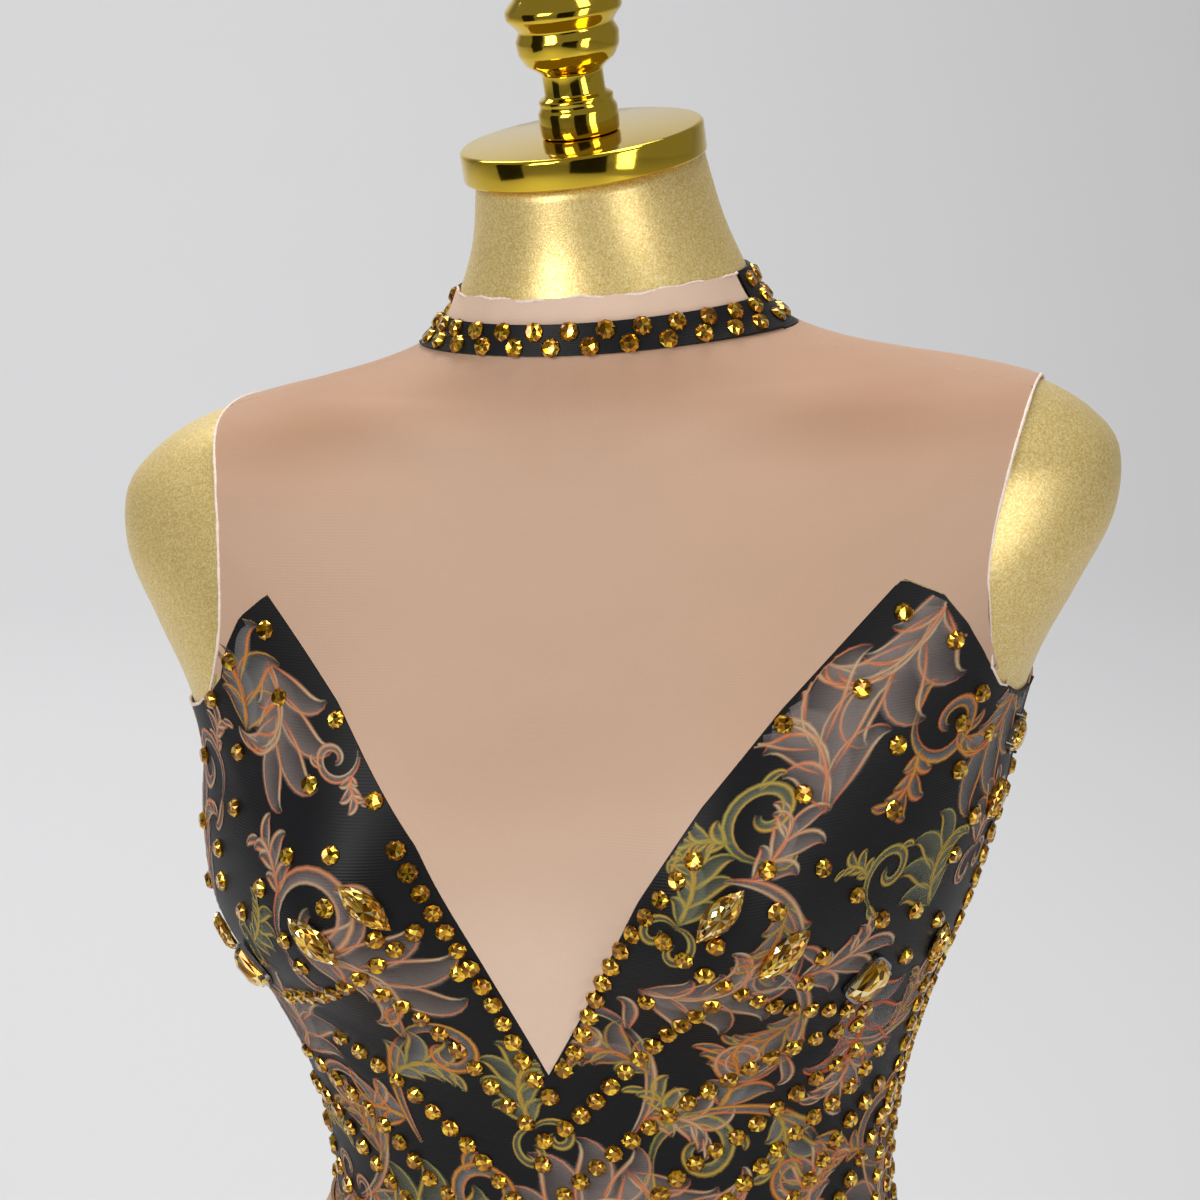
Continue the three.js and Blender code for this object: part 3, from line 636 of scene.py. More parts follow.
def thread_material(name, dark, light, scale=700.0, relief=0.5, roughness=0.8):
    material, tree, shader = new_material(name, Roughness=roughness)
    where = add_node(tree, "ShaderNodeTexCoord")
    twist = add_node(tree, "ShaderNodeTexNoise", {"Scale": scale, "Detail": 2.0},
                     Vector=where.outputs["Object"])
    add_relief(tree, shader, twist.outputs["Fac"], relief)
    tree.links.new(two_tones(tree, twist.outputs["Fac"], dark, light), shader.inputs["Base Color"])
    return material


RAW_EDGE = thread_material("raw edge of pale nylon thread", "#d9bda8", "#faf0e6")
SEWING_THREAD = thread_material("nude polyester sewing thread", "#a37b62", "#cfae95")
BLACK_THREAD = thread_material("black overlock thread, polyester", "#08080a", "#242329", 900.0, 0.6, 0.7)
collar_u = np.radians(np.linspace(-76, 76, 160))
collar_wave = 0.5 * np.sin(collar_u * 9 + 1) + 0.35 * np.sin(collar_u * 23)
collar_rows = row_at(COLLAR_TOP - 0.3 + collar_wave)
collar_path = on_cloth(collar_u, collar_rows, CLOTH_OUT - 0.4 + 0.3 * np.sin(collar_u * 17))


def cut_edge_points(pieces, outline, heights=(180, 345)):
    """The panels' own edge points that lie on an outline, in order along it."""
    found = []
    for piece in pieces:
        bm = bmesh.new()
        bm.from_mesh(piece.data)
        rim = [np.array(v.co) / MM - np.array([0, 0, WAIST]) for v in bm.verts if v.is_boundary]
        found += [p for p in rim if abs(inside(outline, p)) < 0.8 and heights[0] < p[2] < heights[1]]
        bm.free()
    found = np.array(found)
    middle = found.mean(axis=0)
    if len(pieces) > 1:
        order = np.argsort(np.arctan2(found[:, 2] - middle[2], found[:, 1] - middle[1]))
    else:
        order = np.argsort(np.abs(found[:, 0]))
    return [tuple((p + np.array([0, 0, WAIST])) * MM) for p in found[order]]


edge_paths = [cut_edge_points((yoke_front, yoke_back, bodice_front, bodice_back), hole) for hole in ARM_CUTS]
collar_edge = tube("collar_raw_edge", [collar_path], 0.55 * MM, RAW_EDGE, wobble=0.3)
armhole_edge = tube("armhole_raw_edges", edge_paths, 0.6 * MM, RAW_EDGE, cyclic=True, wobble=0.25)

# %% [markdown]
# The panels are joined by overlock seams, which show as fine ridges of thread: nude ones over
# the shoulders, black ones down the sides. Leg openings are turned round elastic, so their
# edge is a soft black roll. Three hooks and bars close the collar at the nape.


# %% Seams and bindings
def shoulder_path(side):
    """Where the shoulder seam crosses each row, from the collar to the armhole."""
    path = []
    for row in np.linspace(row_at(338), row_at(290), 200):
        low, high = 0.6, math.pi / 2
        for _ in range(24):
            middle = (low + high) / 2
            ahead = form_point(side * middle, row)[1] < SHOULDER_SEAM_Y
            low, high = (middle, high) if ahead else (low, middle)
        point = form_point(side * low, row)
        if inside(ARM_CUTS[0 if side < 0 else 1], point) > -1:
            break
        path.append(on_cloth(np.array(side * low), row, np.array(CLOTH_OUT - 0.1)))
    return path


side_paths = [on_cloth(np.full(90, side * math.pi / 2), row_at(np.linspace(top, -108, 90)), CLOTH_OUT - 0.05)
              for side, top in ((-1, 192), (1, 204))]
leg_paths = []
for panel, leg in ((bodice_front, LEG_FRONT), (bodice_back, LEG_BACK)):
    for outline in (leg, mirrored(leg)):
        leg_paths.append(cut_edge_points((panel,), outline[1:-1], (-270, -90)))
shoulder_paths = [shoulder_path(-1), shoulder_path(1)]
shoulder_seams = tube("shoulder_seams", shoulder_paths, 0.26 * MM, SEWING_THREAD, wobble=0.35)
side_seams = tube("side_seams", side_paths, 0.5 * MM, BLACK_THREAD, wobble=0.35)
leg_bindings = tube("leg_bindings", leg_paths, 1.1 * MM, BLACK_THREAD, sides=2, wobble=0.1)


# %% Nape hooks
def nape_place(side, height, out=CLOTH_OUT + 0.9):
    return on_cloth(np.array(math.pi + side), row_at(height), np.array(out), False)


# Each hook and each bar is a wire's path: an angle past the nape and a height above its middle.
HOOK_WIRE = [(0.13, 0.9), (0.09, 1.2), (0.03, 1.1), (-0.035, 0.8), (-0.05, 0), (-0.035, -0.8),
             (0.03, -1.1), (0.09, -1.2), (0.13, -0.9), (0.145, 0), (0.13, 0.9)]
BAR_WIRE = [(-0.10, 1.6), (-0.06, 1.3), (-0.045, 0), (-0.06, -1.3), (-0.10, -1.6)]
hook_paths = []
for middle in (343.5, 350, 356.5):
    for wire in (HOOK_WIRE, BAR_WIRE):
        hook_paths.append([nape_place(side, middle + up) for side, up in wire])

# %% [markdown]
# The print is an ornament of acanthus scrolls, the common baroque leaf that curls over at its
# tip. It looks airbrushed: a grey translucent leaf, edged by tapering strokes of orange, ochre
# and olive. Each stroke here is a narrow strip that lies on the cloth and lets it show through
# where the ink is thin, and every leaf and curl is a short recipe of such strokes.

# %% Ink strokes
INKS = {"orange": "#dd6f3c", "rust": "#c2552e", "ochre": "#d3a03f", "olive": "#a8a24e",
        "cream": "#d8c39a", "smoke": "#9a9794", "mauve": "#a3948e", "sage": "#888c74"}


def across_path(path):
    """Unit vectors square to a path, to its left."""
    tangent = np.gradient(path, axis=0)
    tangent /= np.maximum(np.linalg.norm(tangent, axis=1, keepdims=True), 1e-9)
    return np.stack([-tangent[:, 1], tangent[:, 0]], 1)


def strip_faces(count, columns, first):
    """Quads of a strip with this many points along it and columns across it."""
    i, k = np.meshgrid(np.arange(count - 1), np.arange(columns - 1), indexing="ij")
    corner = (i * columns + k).ravel() + first
    return np.stack([corner, corner + 1, corner + columns + 1, corner + columns], 1)


class Ink:
    """Gathers strokes, each in a flat frame of millimetres, and lays them on the cloth."""

    def __init__(self):
        self.where, self.colour, self.lift, self.faces = [], [], [], []
        self.count = 0
        self.strokes = 0

    def place(self, u, height, turn, size=1.0, hand=1):
        row = float(row_at(height))
        u = math.radians(u)
        size_u = np.linalg.norm(form_point(u + 0.02, row) - form_point(u - 0.02, row)) / 0.04
        size_r = np.linalg.norm(form_point(u, row + 0.05) - form_point(u, row - 0.05)) / 0.1
        angle = math.radians(turn)
        self.frame = (u, row, size_u, size_r, math.cos(angle), math.sin(angle), size, hand)

    def stroke(self, points, widths, inks, cover=1.0, fine=True, lift=0.26):
        """A strip along the points, from one ink to another, that fades out at both its sides."""
        across, fade = ((-1, 0, 1), (0, 1, 0)) if fine else ((-1, -0.75, 0, 0.6, 1), (0, 1, 0.6, 0.35, 0))
        u0, row0, size_u, size_r, c, s, size, hand = self.frame
        points = np.array(points, float) * size
        points[:, 1] *= hand
        normal = across_path(points)
        count = len(points)
        thick = size ** 0.5 * 1.3 if fine else size
        reach = np.array(across)[None, :, None] * (np.array(widths) * thick * 0.5)[:, None, None]
        places = (points[:, None, :] + normal[:, None, :] * reach).reshape(-1, 2)
        t = np.linspace(0, 1, count)
        ends = np.minimum(1, np.minimum(5 * t + 0.3, 5 * (1 - t) + 0.1))
        alpha = (np.array(fade)[None, :] * ends[:, None] * cover).ravel()
        a, b = places[:, 0], places[:, 1]
        self.where.append(np.stack([u0 + (a * c - b * s) / size_u, row0 + (a * s + b * c) / size_r], 1))
        first, last = (np.array(linear(INKS[ink])[:3]) for ink in (inks[0], inks[-1]))
        colour = np.repeat(first + (last - first) * t[:, None], len(across), axis=0)
        self.colour.append(np.c_[colour, alpha])
        self.lift.append(np.full(len(places), lift + 0.002 * (self.strokes % 40)))
        self.faces.append(strip_faces(count, len(across), self.count))
        self.count += len(places)
        self.strokes += 1

    def finish(self, name, trim):
        where = np.concatenate(self.where)
        u, row = where[:, 0], np.clip(where[:, 1], 0.5, LAST_ROW)
        point = form_point(u, row)
        places = on_cloth(u, row, CLOTH_OUT + np.concatenate(self.lift))
        faces = np.concatenate(self.faces)
        faces = faces[(trim(point)[faces] > 0.3).all(axis=1)]
        used, faces = np.unique(faces, return_inverse=True)
        faces = faces.reshape(-1, 4)
        mesh = bpy.data.meshes.new(name)
        mesh.from_pydata(places[used].tolist(), [], faces.tolist())
        layer = mesh.color_attributes.new("ink", "FLOAT_COLOR", "POINT")
        layer.data.foreach_set("color", np.concatenate(self.colour)[used].ravel())
        uv = mesh.uv_layers.new(name="weave")
        corner = faces.ravel()
        flat = np.stack([u[used] * WEAVE_REACH, section(row[used], "height") * MM], 1)
        uv.data.foreach_set("uv", flat[corner].ravel())
        piece = link_piece(name, mesh, INKED)
        return piece


print("inks:", ", ".join(INKS))


# %% Ribbons, plumes and curls
def walked(start, turn, step):
    """A path from a start, by steps that each have a heading and a length."""
    steps = np.stack([np.cos(turn), np.sin(turn)], 1) * step[:, None]
    return np.concatenate([[start], np.array(start) + np.cumsum(steps, axis=0)])


def bow(start, heading, length, bend, hook=0.0, count=16):
    """A path that turns by bend degrees along its length, and by hook more near its end."""
    t = np.linspace(0, 1, count - 1)
    turn = np.radians(heading + bend * t + hook * t ** 3)
    return walked(start, turn, length / (count - 1) * (1 - 0.45 * t * abs(hook) / 180))


def spiral(start, heading, radius, turns, count=30):
    """A path that winds in on itself, its radius falling to a fifth."""
    t = np.linspace(0, 1, count - 1)
    turn = math.radians(heading) + 2 * math.pi * turns * t ** 1.1
    return walked(start, turn, 2 * math.pi * abs(turns) * radius * (1 - 0.8 * t) / (count - 1))


def swell(count, start, middle, end, peak=0.4):
    """Widths that grow from start to middle and fall to end."""
    t = np.linspace(0, 1, count)
    low = np.where(t < peak, start, end)
    share = np.where(t < peak, t / peak, (1 - t) / (1 - peak))
    return low + (middle - low) * np.sin(share * math.pi / 2)


def ribbon(ink, path, widths, inks, cover=0.55, line=2.2):
    """A smoky band with a coloured line along each edge."""
    count = len(path)
    side = across_path(path) * (widths * 0.4)[:, None]
    ink.stroke(path, widths * 1.1, (inks[2],), cover, fine=False, lift=0.14)
    ink.stroke(path + side, swell(count, 1.0, line, 0.9, 0.55), (inks[0], inks[1]), 0.95)
    ink.stroke(path - side, swell(count, 0.8, line * 0.7, 0.8, 0.55), (inks[1], inks[0]), 0.8)


def along(path, i):
    """The path's place and heading at one of its points."""
    d = path[min(i + 1, len(path) - 1)] - path[max(i - 1, 0)]
    return path[i], math.degrees(math.atan2(d[1], d[0]))


def leaf(ink, start, heading, length, bend, inks, lobes=4, wide=0.34):
    """An acanthus leaf: a curved spine with curled leaflets on both sides and one at its tip."""
    path = bow(start, heading, length * 0.86, bend, 1.3 * bend, 28)
    outer = math.copysign(1, -bend)
    cool = (inks[1], inks[0], inks[2])
    body = swell(28, 0.08, wide * 0.9, 0.05, 0.38) * length
    ink.stroke(path, body, (inks[2],), 0.4, fine=False, lift=0.12)
    for side in (1, -1):
        grow = 1.3 if side == outer else 0.95
        for k in range(lobes):
            share = (k + 0.3) / lobes
            at, angle = along(path, int(24 * share))
            reach = length * wide * grow * (0.62 + 0.75 * math.sin(math.pi * (0.2 + 0.65 * share)))
            leaflet = bow(at, angle + side * 22, reach, side * 26, side * 62, 12)
            tinted = inks if side == outer else cool
            ribbon(ink, leaflet, swell(12, reach * 0.10, reach * 0.40, 0.7, 0.42), tinted, 0.5, 2.1)
    at, angle = along(path, 27)
    tip = bow(at, angle, length * 0.3, bend * 0.6, 1.2 * bend, 12)
    ribbon(ink, tip, swell(12, length * 0.07, length * 0.11, 0.7, 0.35), inks, 0.5, 1.8)
    ink.stroke(path, swell(28, 1.8, 2.2, 1.1, 0.3), (inks[0], inks[1]), 0.9, lift=0.3)


def plume(ink, start, heading, length, bend, inks, hook=100):
    """A plain curled leaflet."""
    path = bow(start, heading, length, bend, hook, 14)
    ribbon(ink, path, swell(14, length * 0.06, length * 0.26, 0.9, 0.42), inks, line=2.0)


def scroll(ink, inks):
    """A bold C-scroll that winds in to a ball, with a leaf off its back."""
    path = spiral((-20, -12), 70, 19, -1.25)
    ribbon(ink, path, swell(30, 1.6, 6.0, 3.2, 0.35), inks, 0.65, 2.3)
    at, angle = along(path, 4)
    leaf(ink, at, angle + 40, 30, 36, inks, 3, 0.3)
    at, angle = along(path, 11)
    plume(ink, at, angle + 36, 17, 16, inks, hook=-130)
    plume(ink, (-20, -12), 235, 20, 24, (inks[1], inks[0], inks[2]), hook=120)


def sprig(ink, inks):
    """A leaf and two tendrils that leave one stem in opposite ways."""
    leaf(ink, (0, 0), 80, 42, -36, inks, 4)
    cool = (inks[1], inks[0], inks[2])
    for heading, radius, turns, inner in ((165, 10, 1.0, inks), (15, 8.5, -1.05, cool)):
        path = spiral((0, -1), heading, radius, turns, 24)
        ribbon(ink, path, swell(24, 1.0, 3.6, 2.0, 0.35), inner, 0.5, 1.8)


def big_leaf(ink, inks):
    leaf(ink, (0, -30), 98, 66, -46, inks, 4, 0.4)


def branch(ink, inks):
    """A long S-stem that ends in a scroll, with a leaf on each side of it."""
    path = bow((-34, -30), 75, 62, -70, 0, 24)
    at, angle = along(path, 23)
    end = spiral(at, angle, 15, -1.15, 28)
    leaf(ink, path[4], 122, 42, 34, inks, 3, 0.38)
    leaf(ink, path[13], 0, 38, -36, ("olive", inks[0], inks[2]), 3, 0.38)
    plume(ink, at, angle + 44, 24, 12, inks, hook=-130)
    ribbon(ink, path, swell(24, 1.4, 4.6, 3.6, 0.5), inks, 0.6, 2.3)
    ribbon(ink, end, swell(28, 3.6, 5.4, 3.0, 0.2), inks, 0.6, 2.3)


WARM = ("orange", "cream", "mauve")
RUST = ("rust", "orange", "smoke")
GOLD = ("ochre", "orange", "smoke")
MOSS = ("olive", "ochre", "sage")
MOTIFS = {"scroll": scroll, "sprig": sprig, "leaf": big_leaf, "branch": branch}
print("motifs:", ", ".join(MOTIFS))

# %% Where the ornament sits
# Kind of motif, angle round the body, height, turn, size, hand (1 or -1) and inks.
FRONT_PRINT = [
    # the cup on the wearer's left
    ("leaf", 45, 232, 176, 0.95, 1, WARM), ("leaf", 34, 207, 196, 0.95, -1, WARM),
    ("scroll", 25, 181, 100, 0.8, 1, MOSS),
    ("scroll", 55, 196, -20, 0.85, -1, GOLD), ("leaf", 62, 150, 20, 0.6, 1, MOSS),
    ("scroll", 49, 157, 60, 0.6, 1, MOSS),
    ("branch", 36, 142, -80, 0.85, 1, WARM), ("sprig", 20, 148, 150, 0.8, -1, MOSS),
    ("leaf", 74, 196, 170, 0.8, 1, GOLD),
    ("sprig", 76, 150, 10, 0.8, 1, WARM), ("leaf", 26, 118, 80, 0.8, -1, WARM),
    # the cup on the wearer's right
    ("leaf", -42, 228, 172, 0.75, -1, GOLD), ("leaf", -34, 212, 186, 0.8, 1, WARM),
    ("scroll", -58, 196, 150, 0.8, -1, WARM),
    ("scroll", -24, 198, 200, 0.5, 1, WARM), ("leaf", -66, 156, 30, 0.75, 1, WARM),
    ("scroll", -30, 156, 40, 1.1, 1, WARM),
    ("leaf", -20, 128, -110, 0.9, 1, WARM), ("sprig", -44, 128, 110, 0.7, -1, MOSS),
    ("leaf", -76, 200, 180, 0.8, 1, GOLD),
    ("sprig", -78, 146, 0, 0.8, -1, GOLD),
    # the midriff
    ("branch", 14, 92, 130, 0.9, -1, WARM), ("branch", 40, 96, -120, 0.9, 1, WARM),
    ("leaf", 58, 92, -150, 0.8, 1, RUST),
    ("branch", -22, 82, 40, 0.9, 1, GOLD), ("leaf", -46, 90, 150, 0.8, -1, WARM),
    ("sprig", -2, 58, 30, 0.9, 1, MOSS),
    ("scroll", 24, 58, 20, 0.9, 1, MOSS), ("leaf", 4, 26, -30, 0.9, 1, WARM),
    ("branch", -38, 44, 100, 0.9, -1, WARM),
    ("branch", 46, 52, -60, 0.9, 1, GOLD), ("leaf", 22, 22, 40, 0.9, -1, WARM),
    ("scroll", -16, 20, 120, 0.9, 1, GOLD),
    ("leaf", -30, 6, -40, 0.9, 1, MOSS), ("branch", 72, 90, 40, 0.85, -1, WARM),
    ("branch", -70, 88, -40, 0.85, 1, GOLD),
    ("scroll", 70, 42, 90, 0.9, 1, GOLD), ("scroll", -66, 40, 100, 0.9, -1, MOSS),
    ("sprig", 52, 10, 20, 0.9, 1, WARM),
    ("sprig", -54, 6, -20, 0.9, -1, WARM), ("leaf", 78, 10, 10, 0.9, 1, WARM),
    ("leaf", -80, 8, -10, 0.9, -1, GOLD),
    # under the fringe
    ("branch", 2, -44, 0, 1.1, 1, WARM), ("scroll", 36, -46, 40, 1.1, -1, GOLD),
    ("scroll", -34, -48, 140, 1.1, 1, MOSS),
    ("leaf", 16, -92, 20, 1.1, 1, WARM), ("leaf", -16, -98, -20, 1.1, -1, GOLD),
    ("branch", 50, -96, 60, 1.1, 1, WARM),
    ("branch", -50, -94, 120, 1.1, -1, WARM), ("sprig", 70, -50, 30, 1.1, 1, MOSS),
    ("sprig", -70, -52, -30, 1.1, -1, WARM),
    ("leaf", 0, -158, 0, 1.1, 1, MOSS), ("sprig", 78, -92, 30, 1.0, 1, WARM),
    ("sprig", -78, -90, -30, 1.0, -1, GOLD),
]
# Rows of motifs behind: height, first and last angle, and how many on each side.
BACK_PRINT_ROWS = [
    (178, 98, 142, 3), (140, 100, 172, 4), (96, 98, 170, 4), (52, 102, 174, 4), (8, 98, 170, 4),
    (-44, 100, 172, 4), (-100, 100, 170, 4), (-160, 142, 172, 2),
]


def lay_motif(ink, kind, u, height, turn, size, hand, inks):
    ink.place(u, height, turn, size, hand)
    MOTIFS[kind](ink, inks)


front_ink = Ink()
for values in FRONT_PRINT:
    lay_motif(front_ink, *values)
front_print = front_ink.finish("front_print", bodice_front_trim)

back_ink = Ink()
order = 0
for level, first, last, count in BACK_PRINT_ROWS:
    for k in range(count):
        u = first + k / (count - 1) * (last - first)
        kind = ("branch", "leaf", "scroll", "sprig")[order % 4]
        inks = (WARM, GOLD, MOSS, RUST)[(order * 3) % 4]
        turn = (order * 67) % 360
        height = level + 9 * math.sin(order * 1.7)
        lay_motif(back_ink, kind, u, height, turn, 0.95, 1, inks)
        lay_motif(back_ink, kind, 360 - u, height, -turn, 0.95, -1, inks)
        order += 1
back_print = back_ink.finish("back_print", bodice_back_trim)

# %% [markdown]
# The stones are flat-backed glass, foiled behind and glued on: topaz, seven to nearly eight
# millimetres across. The foil throws light back, so they act more like small mirrors of amber
# than like clear glass. One stone is cut from a short cone whose sides are poked into facets,
# and copies of it are joined into one mesh. Each facet is painted a tone at random, from dark
# brown to pale yellow, as painted glints and painted dark reflections.


# %% Topaz glass
def topaz_material():
    material, tree, shader = new_material("foiled topaz glass", Metallic=0.85, Roughness=0.1,
                                          Coat_Weight=0.45, Coat_Roughness=0.02, Coat_IOR=1.6)
    # Each facet's colour is a painted glint or a painted dark reflection, chosen at random.
    tone = add_node(tree, "ShaderNodeAttribute", {"attribute_name": "facet"})
    tree.links.new(tone.outputs["Color"], shader.inputs["Base Color"])
    return material


TOPAZ = topaz_material()
# Painted glints and dark reflections: every facet of a stone gets one of these tones at random.
FACET_GLINT_TONES = [linear(c) for c in ("#6a4004", "#8a5805", "#a86d06", "#cf930c",
                                   "#f0b818", "#ffdc48", "#8e5c05", "#c4860a")]


def stone_template(sides=9):
    """Unit stone: 1 across, 0.32 high, flat underneath."""
    bm = bmesh.new()
    bmesh.ops.create_cone(bm, cap_ends=True, segments=sides, radius1=0.5, radius2=0.31, depth=0.22,
                          matrix=Matrix.Translation((0, 0, 0.19)))
    flanks = [f for f in bm.faces if abs(f.normal.z) < 0.9]
    table = [f for f in bm.faces if f.normal.z > 0.9]
    bmesh.ops.poke(bm, faces=flanks, offset=0.02)
    bmesh.ops.poke(bm, faces=table, offset=-0.035)
    foot = [f for f in bm.faces if f.normal.z < -0.9]
    settled = [*bm.verts, *bm.faces]
    made = bmesh.ops.extrude_face_region(bm, geom=foot)
    bmesh.ops.translate(bm, vec=(0, 0, -0.08), verts=only_verts(made["geom"]))
    bmesh.ops.delete(bm, geom=foot, context="FACES_ONLY")
    bmesh.ops.recalc_face_normals(bm, faces=bm.faces)
    in_fixed_order(bm, settled)
    return finished_mesh(bm, "stone template")


def joined_copies(name, template, matrices, material, tones):
    """Copies of a small mesh at the given matrices, joined, with a tone on every facet (on stones, painted
    glints).
    """
    count = len(template.vertices)
    base = np.empty(count * 3)
    template.vertices.foreach_get("co", base)
    base = np.c_[base.reshape(-1, 3), np.ones(count)]
    faces = [tuple(p.vertices) for p in template.polygons]
    places = np.concatenate([base @ np.array(m).T for m in matrices])[:, :3]
    all_faces = [tuple(i + k * count for i in face) for k in range(len(matrices)) for face in faces]
    mesh = bpy.data.meshes.new(name)
    mesh.from_pydata(places.tolist(), [], all_faces)
    layer = mesh.color_attributes.new("facet", "FLOAT_COLOR", "CORNER")
    colours = []
    for polygon in mesh.polygons:
        colours += [random.choice(tones)] * polygon.loop_total
    layer.data.foreach_set("color", np.array(colours).ravel())
    return link_piece(name, mesh, material, flat=True)


STONE = stone_template()


def seat(u, row, turn=0.0, scale=(1, 1, 1), out=CLOTH_OUT + 0.05, creased=True):
    """A matrix that stands a piece on the cloth: its Z outwards, its X level, then turned."""
    place = on_cloth(np.array(u), np.array(row), np.array(out), creased)
    normal = Vector(form_normal(u, row))
    level = Vector(form_point(u + 0.02, row) - form_point(u - 0.02, row)).normalized()
    up = normal.cross(level)
    basis = Matrix((level, up, normal)).transposed().to_4x4()
    size = Matrix.Diagonal((scale[0] * MM, scale[1] * MM, scale[2] * MM, 1))
    return Matrix.Translation(place) @ basis @ Matrix.Rotation(turn, 4, "Z") @ size


print("stone:", len(STONE.polygons), "facets")

# %% [markdown]
# Rows of stones follow the cut and the pattern: both sides of the V, a chevron under it, arcs
# under each cup, then lines that fan from the gems at the side down to the waist. A row is a
# short list of places in x and height that a smooth line runs through, with a stone about every
# nine millimetres.


# %% Rows of stones
GRID_U, GRID_ROW = np.meshgrid(np.radians(np.linspace(-100, 100, 161)), np.linspace(6, 27, 211))
GRID_POINT = form_point(GRID_U, GRID_ROW)


def locate(x, z):
    """Angle and row of the front surface's point at this x and height above the waist."""
    i = np.argmin((GRID_POINT[..., 0] - x) ** 2 + (GRID_POINT[..., 2] - z) ** 2)
    u, row = GRID_U.flat[i], GRID_ROW.flat[i]
    for _ in range(5):
        p = form_point(u, row)
        pu = (form_point(u + 0.01, row) - form_point(u - 0.01, row)) / 0.02
        pr = (form_point(u, row + 0.02) - form_point(u, row - 0.02)) / 0.04
        slope = np.array([[pu[0], pr[0]], [pu[2], pr[2]]])
        if abs(np.linalg.det(slope)) < 20:
            break
        du, dr = np.linalg.solve(slope, np.array([x - p[0], z - p[2]]))
        u, row = u + np.clip(du, -0.1, 0.1), row + np.clip(dr, -0.5, 0.5)
    return u, row


def spaced(places, pitch):
    """Places every pitch mm along a smooth line through the given angles and rows."""
    places = np.array(places, float)
    fine = np.linspace(0, len(places) - 1, 60 * len(places))
    i = np.clip(fine.astype(int), 0, len(places) - 2)
    s = (fine - i)[:, None]
    line = spline(*(places[np.clip(i + k, 0, len(places) - 1)] for k in (-1, 0, 1, 2)), s)
    points = form_point(line[:, 0], line[:, 1])
    length = np.concatenate([[0], np.cumsum(np.linalg.norm(np.diff(points, axis=0), axis=1))])
    stops = np.linspace(0, length[-1], max(2, int(length[-1] / pitch) + 1))
    return [(np.interp(s, length, line[:, 0]), np.interp(s, length, line[:, 1])) for s in stops]


PITCH = 8.7
SIDE_PITCH, BACK_PITCH = PITCH * 1.08, 11
FRONT_ROWS = {
    "V, right side": [(-50, 169), (-37, 145), (-22, 116), (-9, 84), (0, 71)],
    "V, left side": [(59, 174), (42, 152), (27, 129), (12, 94), (6, 83)],
    "chevron, right": [(-58, 113), (-37, 91), (-18, 68), (-3, 52)],
    "chevron, left": [(63, 119), (40, 97), (15, 68), (5, 58)],
    "under cup, right": [(-44, 139), (-63, 122), (-82, 108), (-101, 99)],
    "under cup, left": [(49, 145), (71, 126), (88, 112), (109, 104)],
    "fan 1, right": [(-83, 83), (-69, 75), (-55, 65), (-42, 54), (-30, 43), (-19, 30), (-9, 17), (0, 4)],
    "fan 1, left": [(106, 97), (89, 94), (75, 87), (61, 78), (46, 68), (31, 56), (16, 42), (4, 30)],
    "fan 2, right": [(-103, 67), (-88, 59), (-74, 50), (-62, 40), (-51, 29), (-39, 21), (-28, 10), (-18, -2)],
    "fan 2, left": [(105, 85), (93, 76), (80, 65), (67, 55), (52, 45), (40, 33), (27, 20), (14, 6)],
    "fan 3, right": [(-108, 46), (-95, 45), (-82, 33), (-69, 22), (-62, 17), (-50, 5), (-43, -3)],
    "fan 3, left": [(112, 80), (101, 67), (86, 54), (73, 40), (65, 31), (52, 16), (40, 2)],
    "fan 4, right": [(-105, 27), (-98, 13), (-90, 6), (-80, -4)],
    "fan 4, left": [(111, 62), (101, 50), (91, 34), (86, 27), (74, 12), (64, -2)],
    "fan 5, left": [(113, 52), (108, 38), (101, 23), (94, 8), (89, -3)],
}
# Lines that run from the side gems to the waist: angle and height at top, middle and foot.
SIDE_ROWS = [
    [(76, 112), (80, 60), (77, 0)], [(84, 150), (87, 80), (86, 0)], [(93, 186), (95, 100), (95, 0)],
    [(103, 178), (105, 90), (106, 0)], [(115, 150), (117, 80), (118, 0)],
]
stones = []
for places in FRONT_ROWS.values():
    stones += spaced([locate(x, z) for x, z in places], PITCH)
for places in SIDE_ROWS:
    for side in (-1, 1):
        stones += spaced([(side * math.radians(u), row_at(h)) for u, h in places], SIDE_PITCH)
print("stones in rows:", len(stones))

# %% Stones scattered on the cups
SCATTERED = [
    (-110, 237), (-126, 223), (-102, 214), (-77, 210), (-121, 190), (-85, 187), (-59, 185),
    (-122, 169), (-91, 162), (-73, 166), (-104, 147), (-116, 133), (-74, 148), (-92, 132),
    (-57, 137), (-87, 122), (-136, 206), (-144, 180), (-145, 154), (-146, 128), (-132, 150),
    (-130, 138), (123, 255), (140, 244), (110, 229), (85, 218), (142, 212), (122, 208), (141, 194),
    (93, 195), (121, 185), (83, 171), (100, 169), (86, 156), (110, 156), (117, 143), (127, 142),
    (99, 134), (93, 124), (123, 122), (67, 145), (145, 173), (148, 222), (150, 205), (139, 160),
    (133, 133), (-4, 42), (-2, 16), (40, 118), (-30, 122),
]
scattered = [locate(x, z) for x, z in SCATTERED]
BACK_ROWS = [
    [(96, 182), (120, 168), (150, 156), (180, 146), (210, 156), (240, 168), (264, 182)],
    [(112, 120), (140, 96), (165, 72), (180, 62), (195, 72), (220, 96), (248, 120)],
]
for places in BACK_ROWS:
    scattered += spaced([(math.radians(u), row_at(h)) for u, h in places], BACK_PITCH)
for k in range(46):
    scattered.append((math.radians(104 + (k * 41.3) % 152), row_at(6 + (k * 37.7) % 150)))
sized = [(u, row, random.uniform(7.0, 7.8)) for u, row in stones + scattered]
placed = [seat(u, row, random.uniform(0, 0.8), (size,) * 3) for u, row, size in sized]
in_front = [m for m in placed if m.translation.y < 0]
behind = [m for m in placed if m.translation.y >= 0]
front_stones = joined_copies("topaz_stones_front", STONE, in_front, TOPAZ, FACET_GLINT_TONES)
back_stones = joined_copies("topaz_stones_back", STONE, behind, TOPAZ, FACET_GLINT_TONES)

# %% Stones on the collar
collar_stones = []


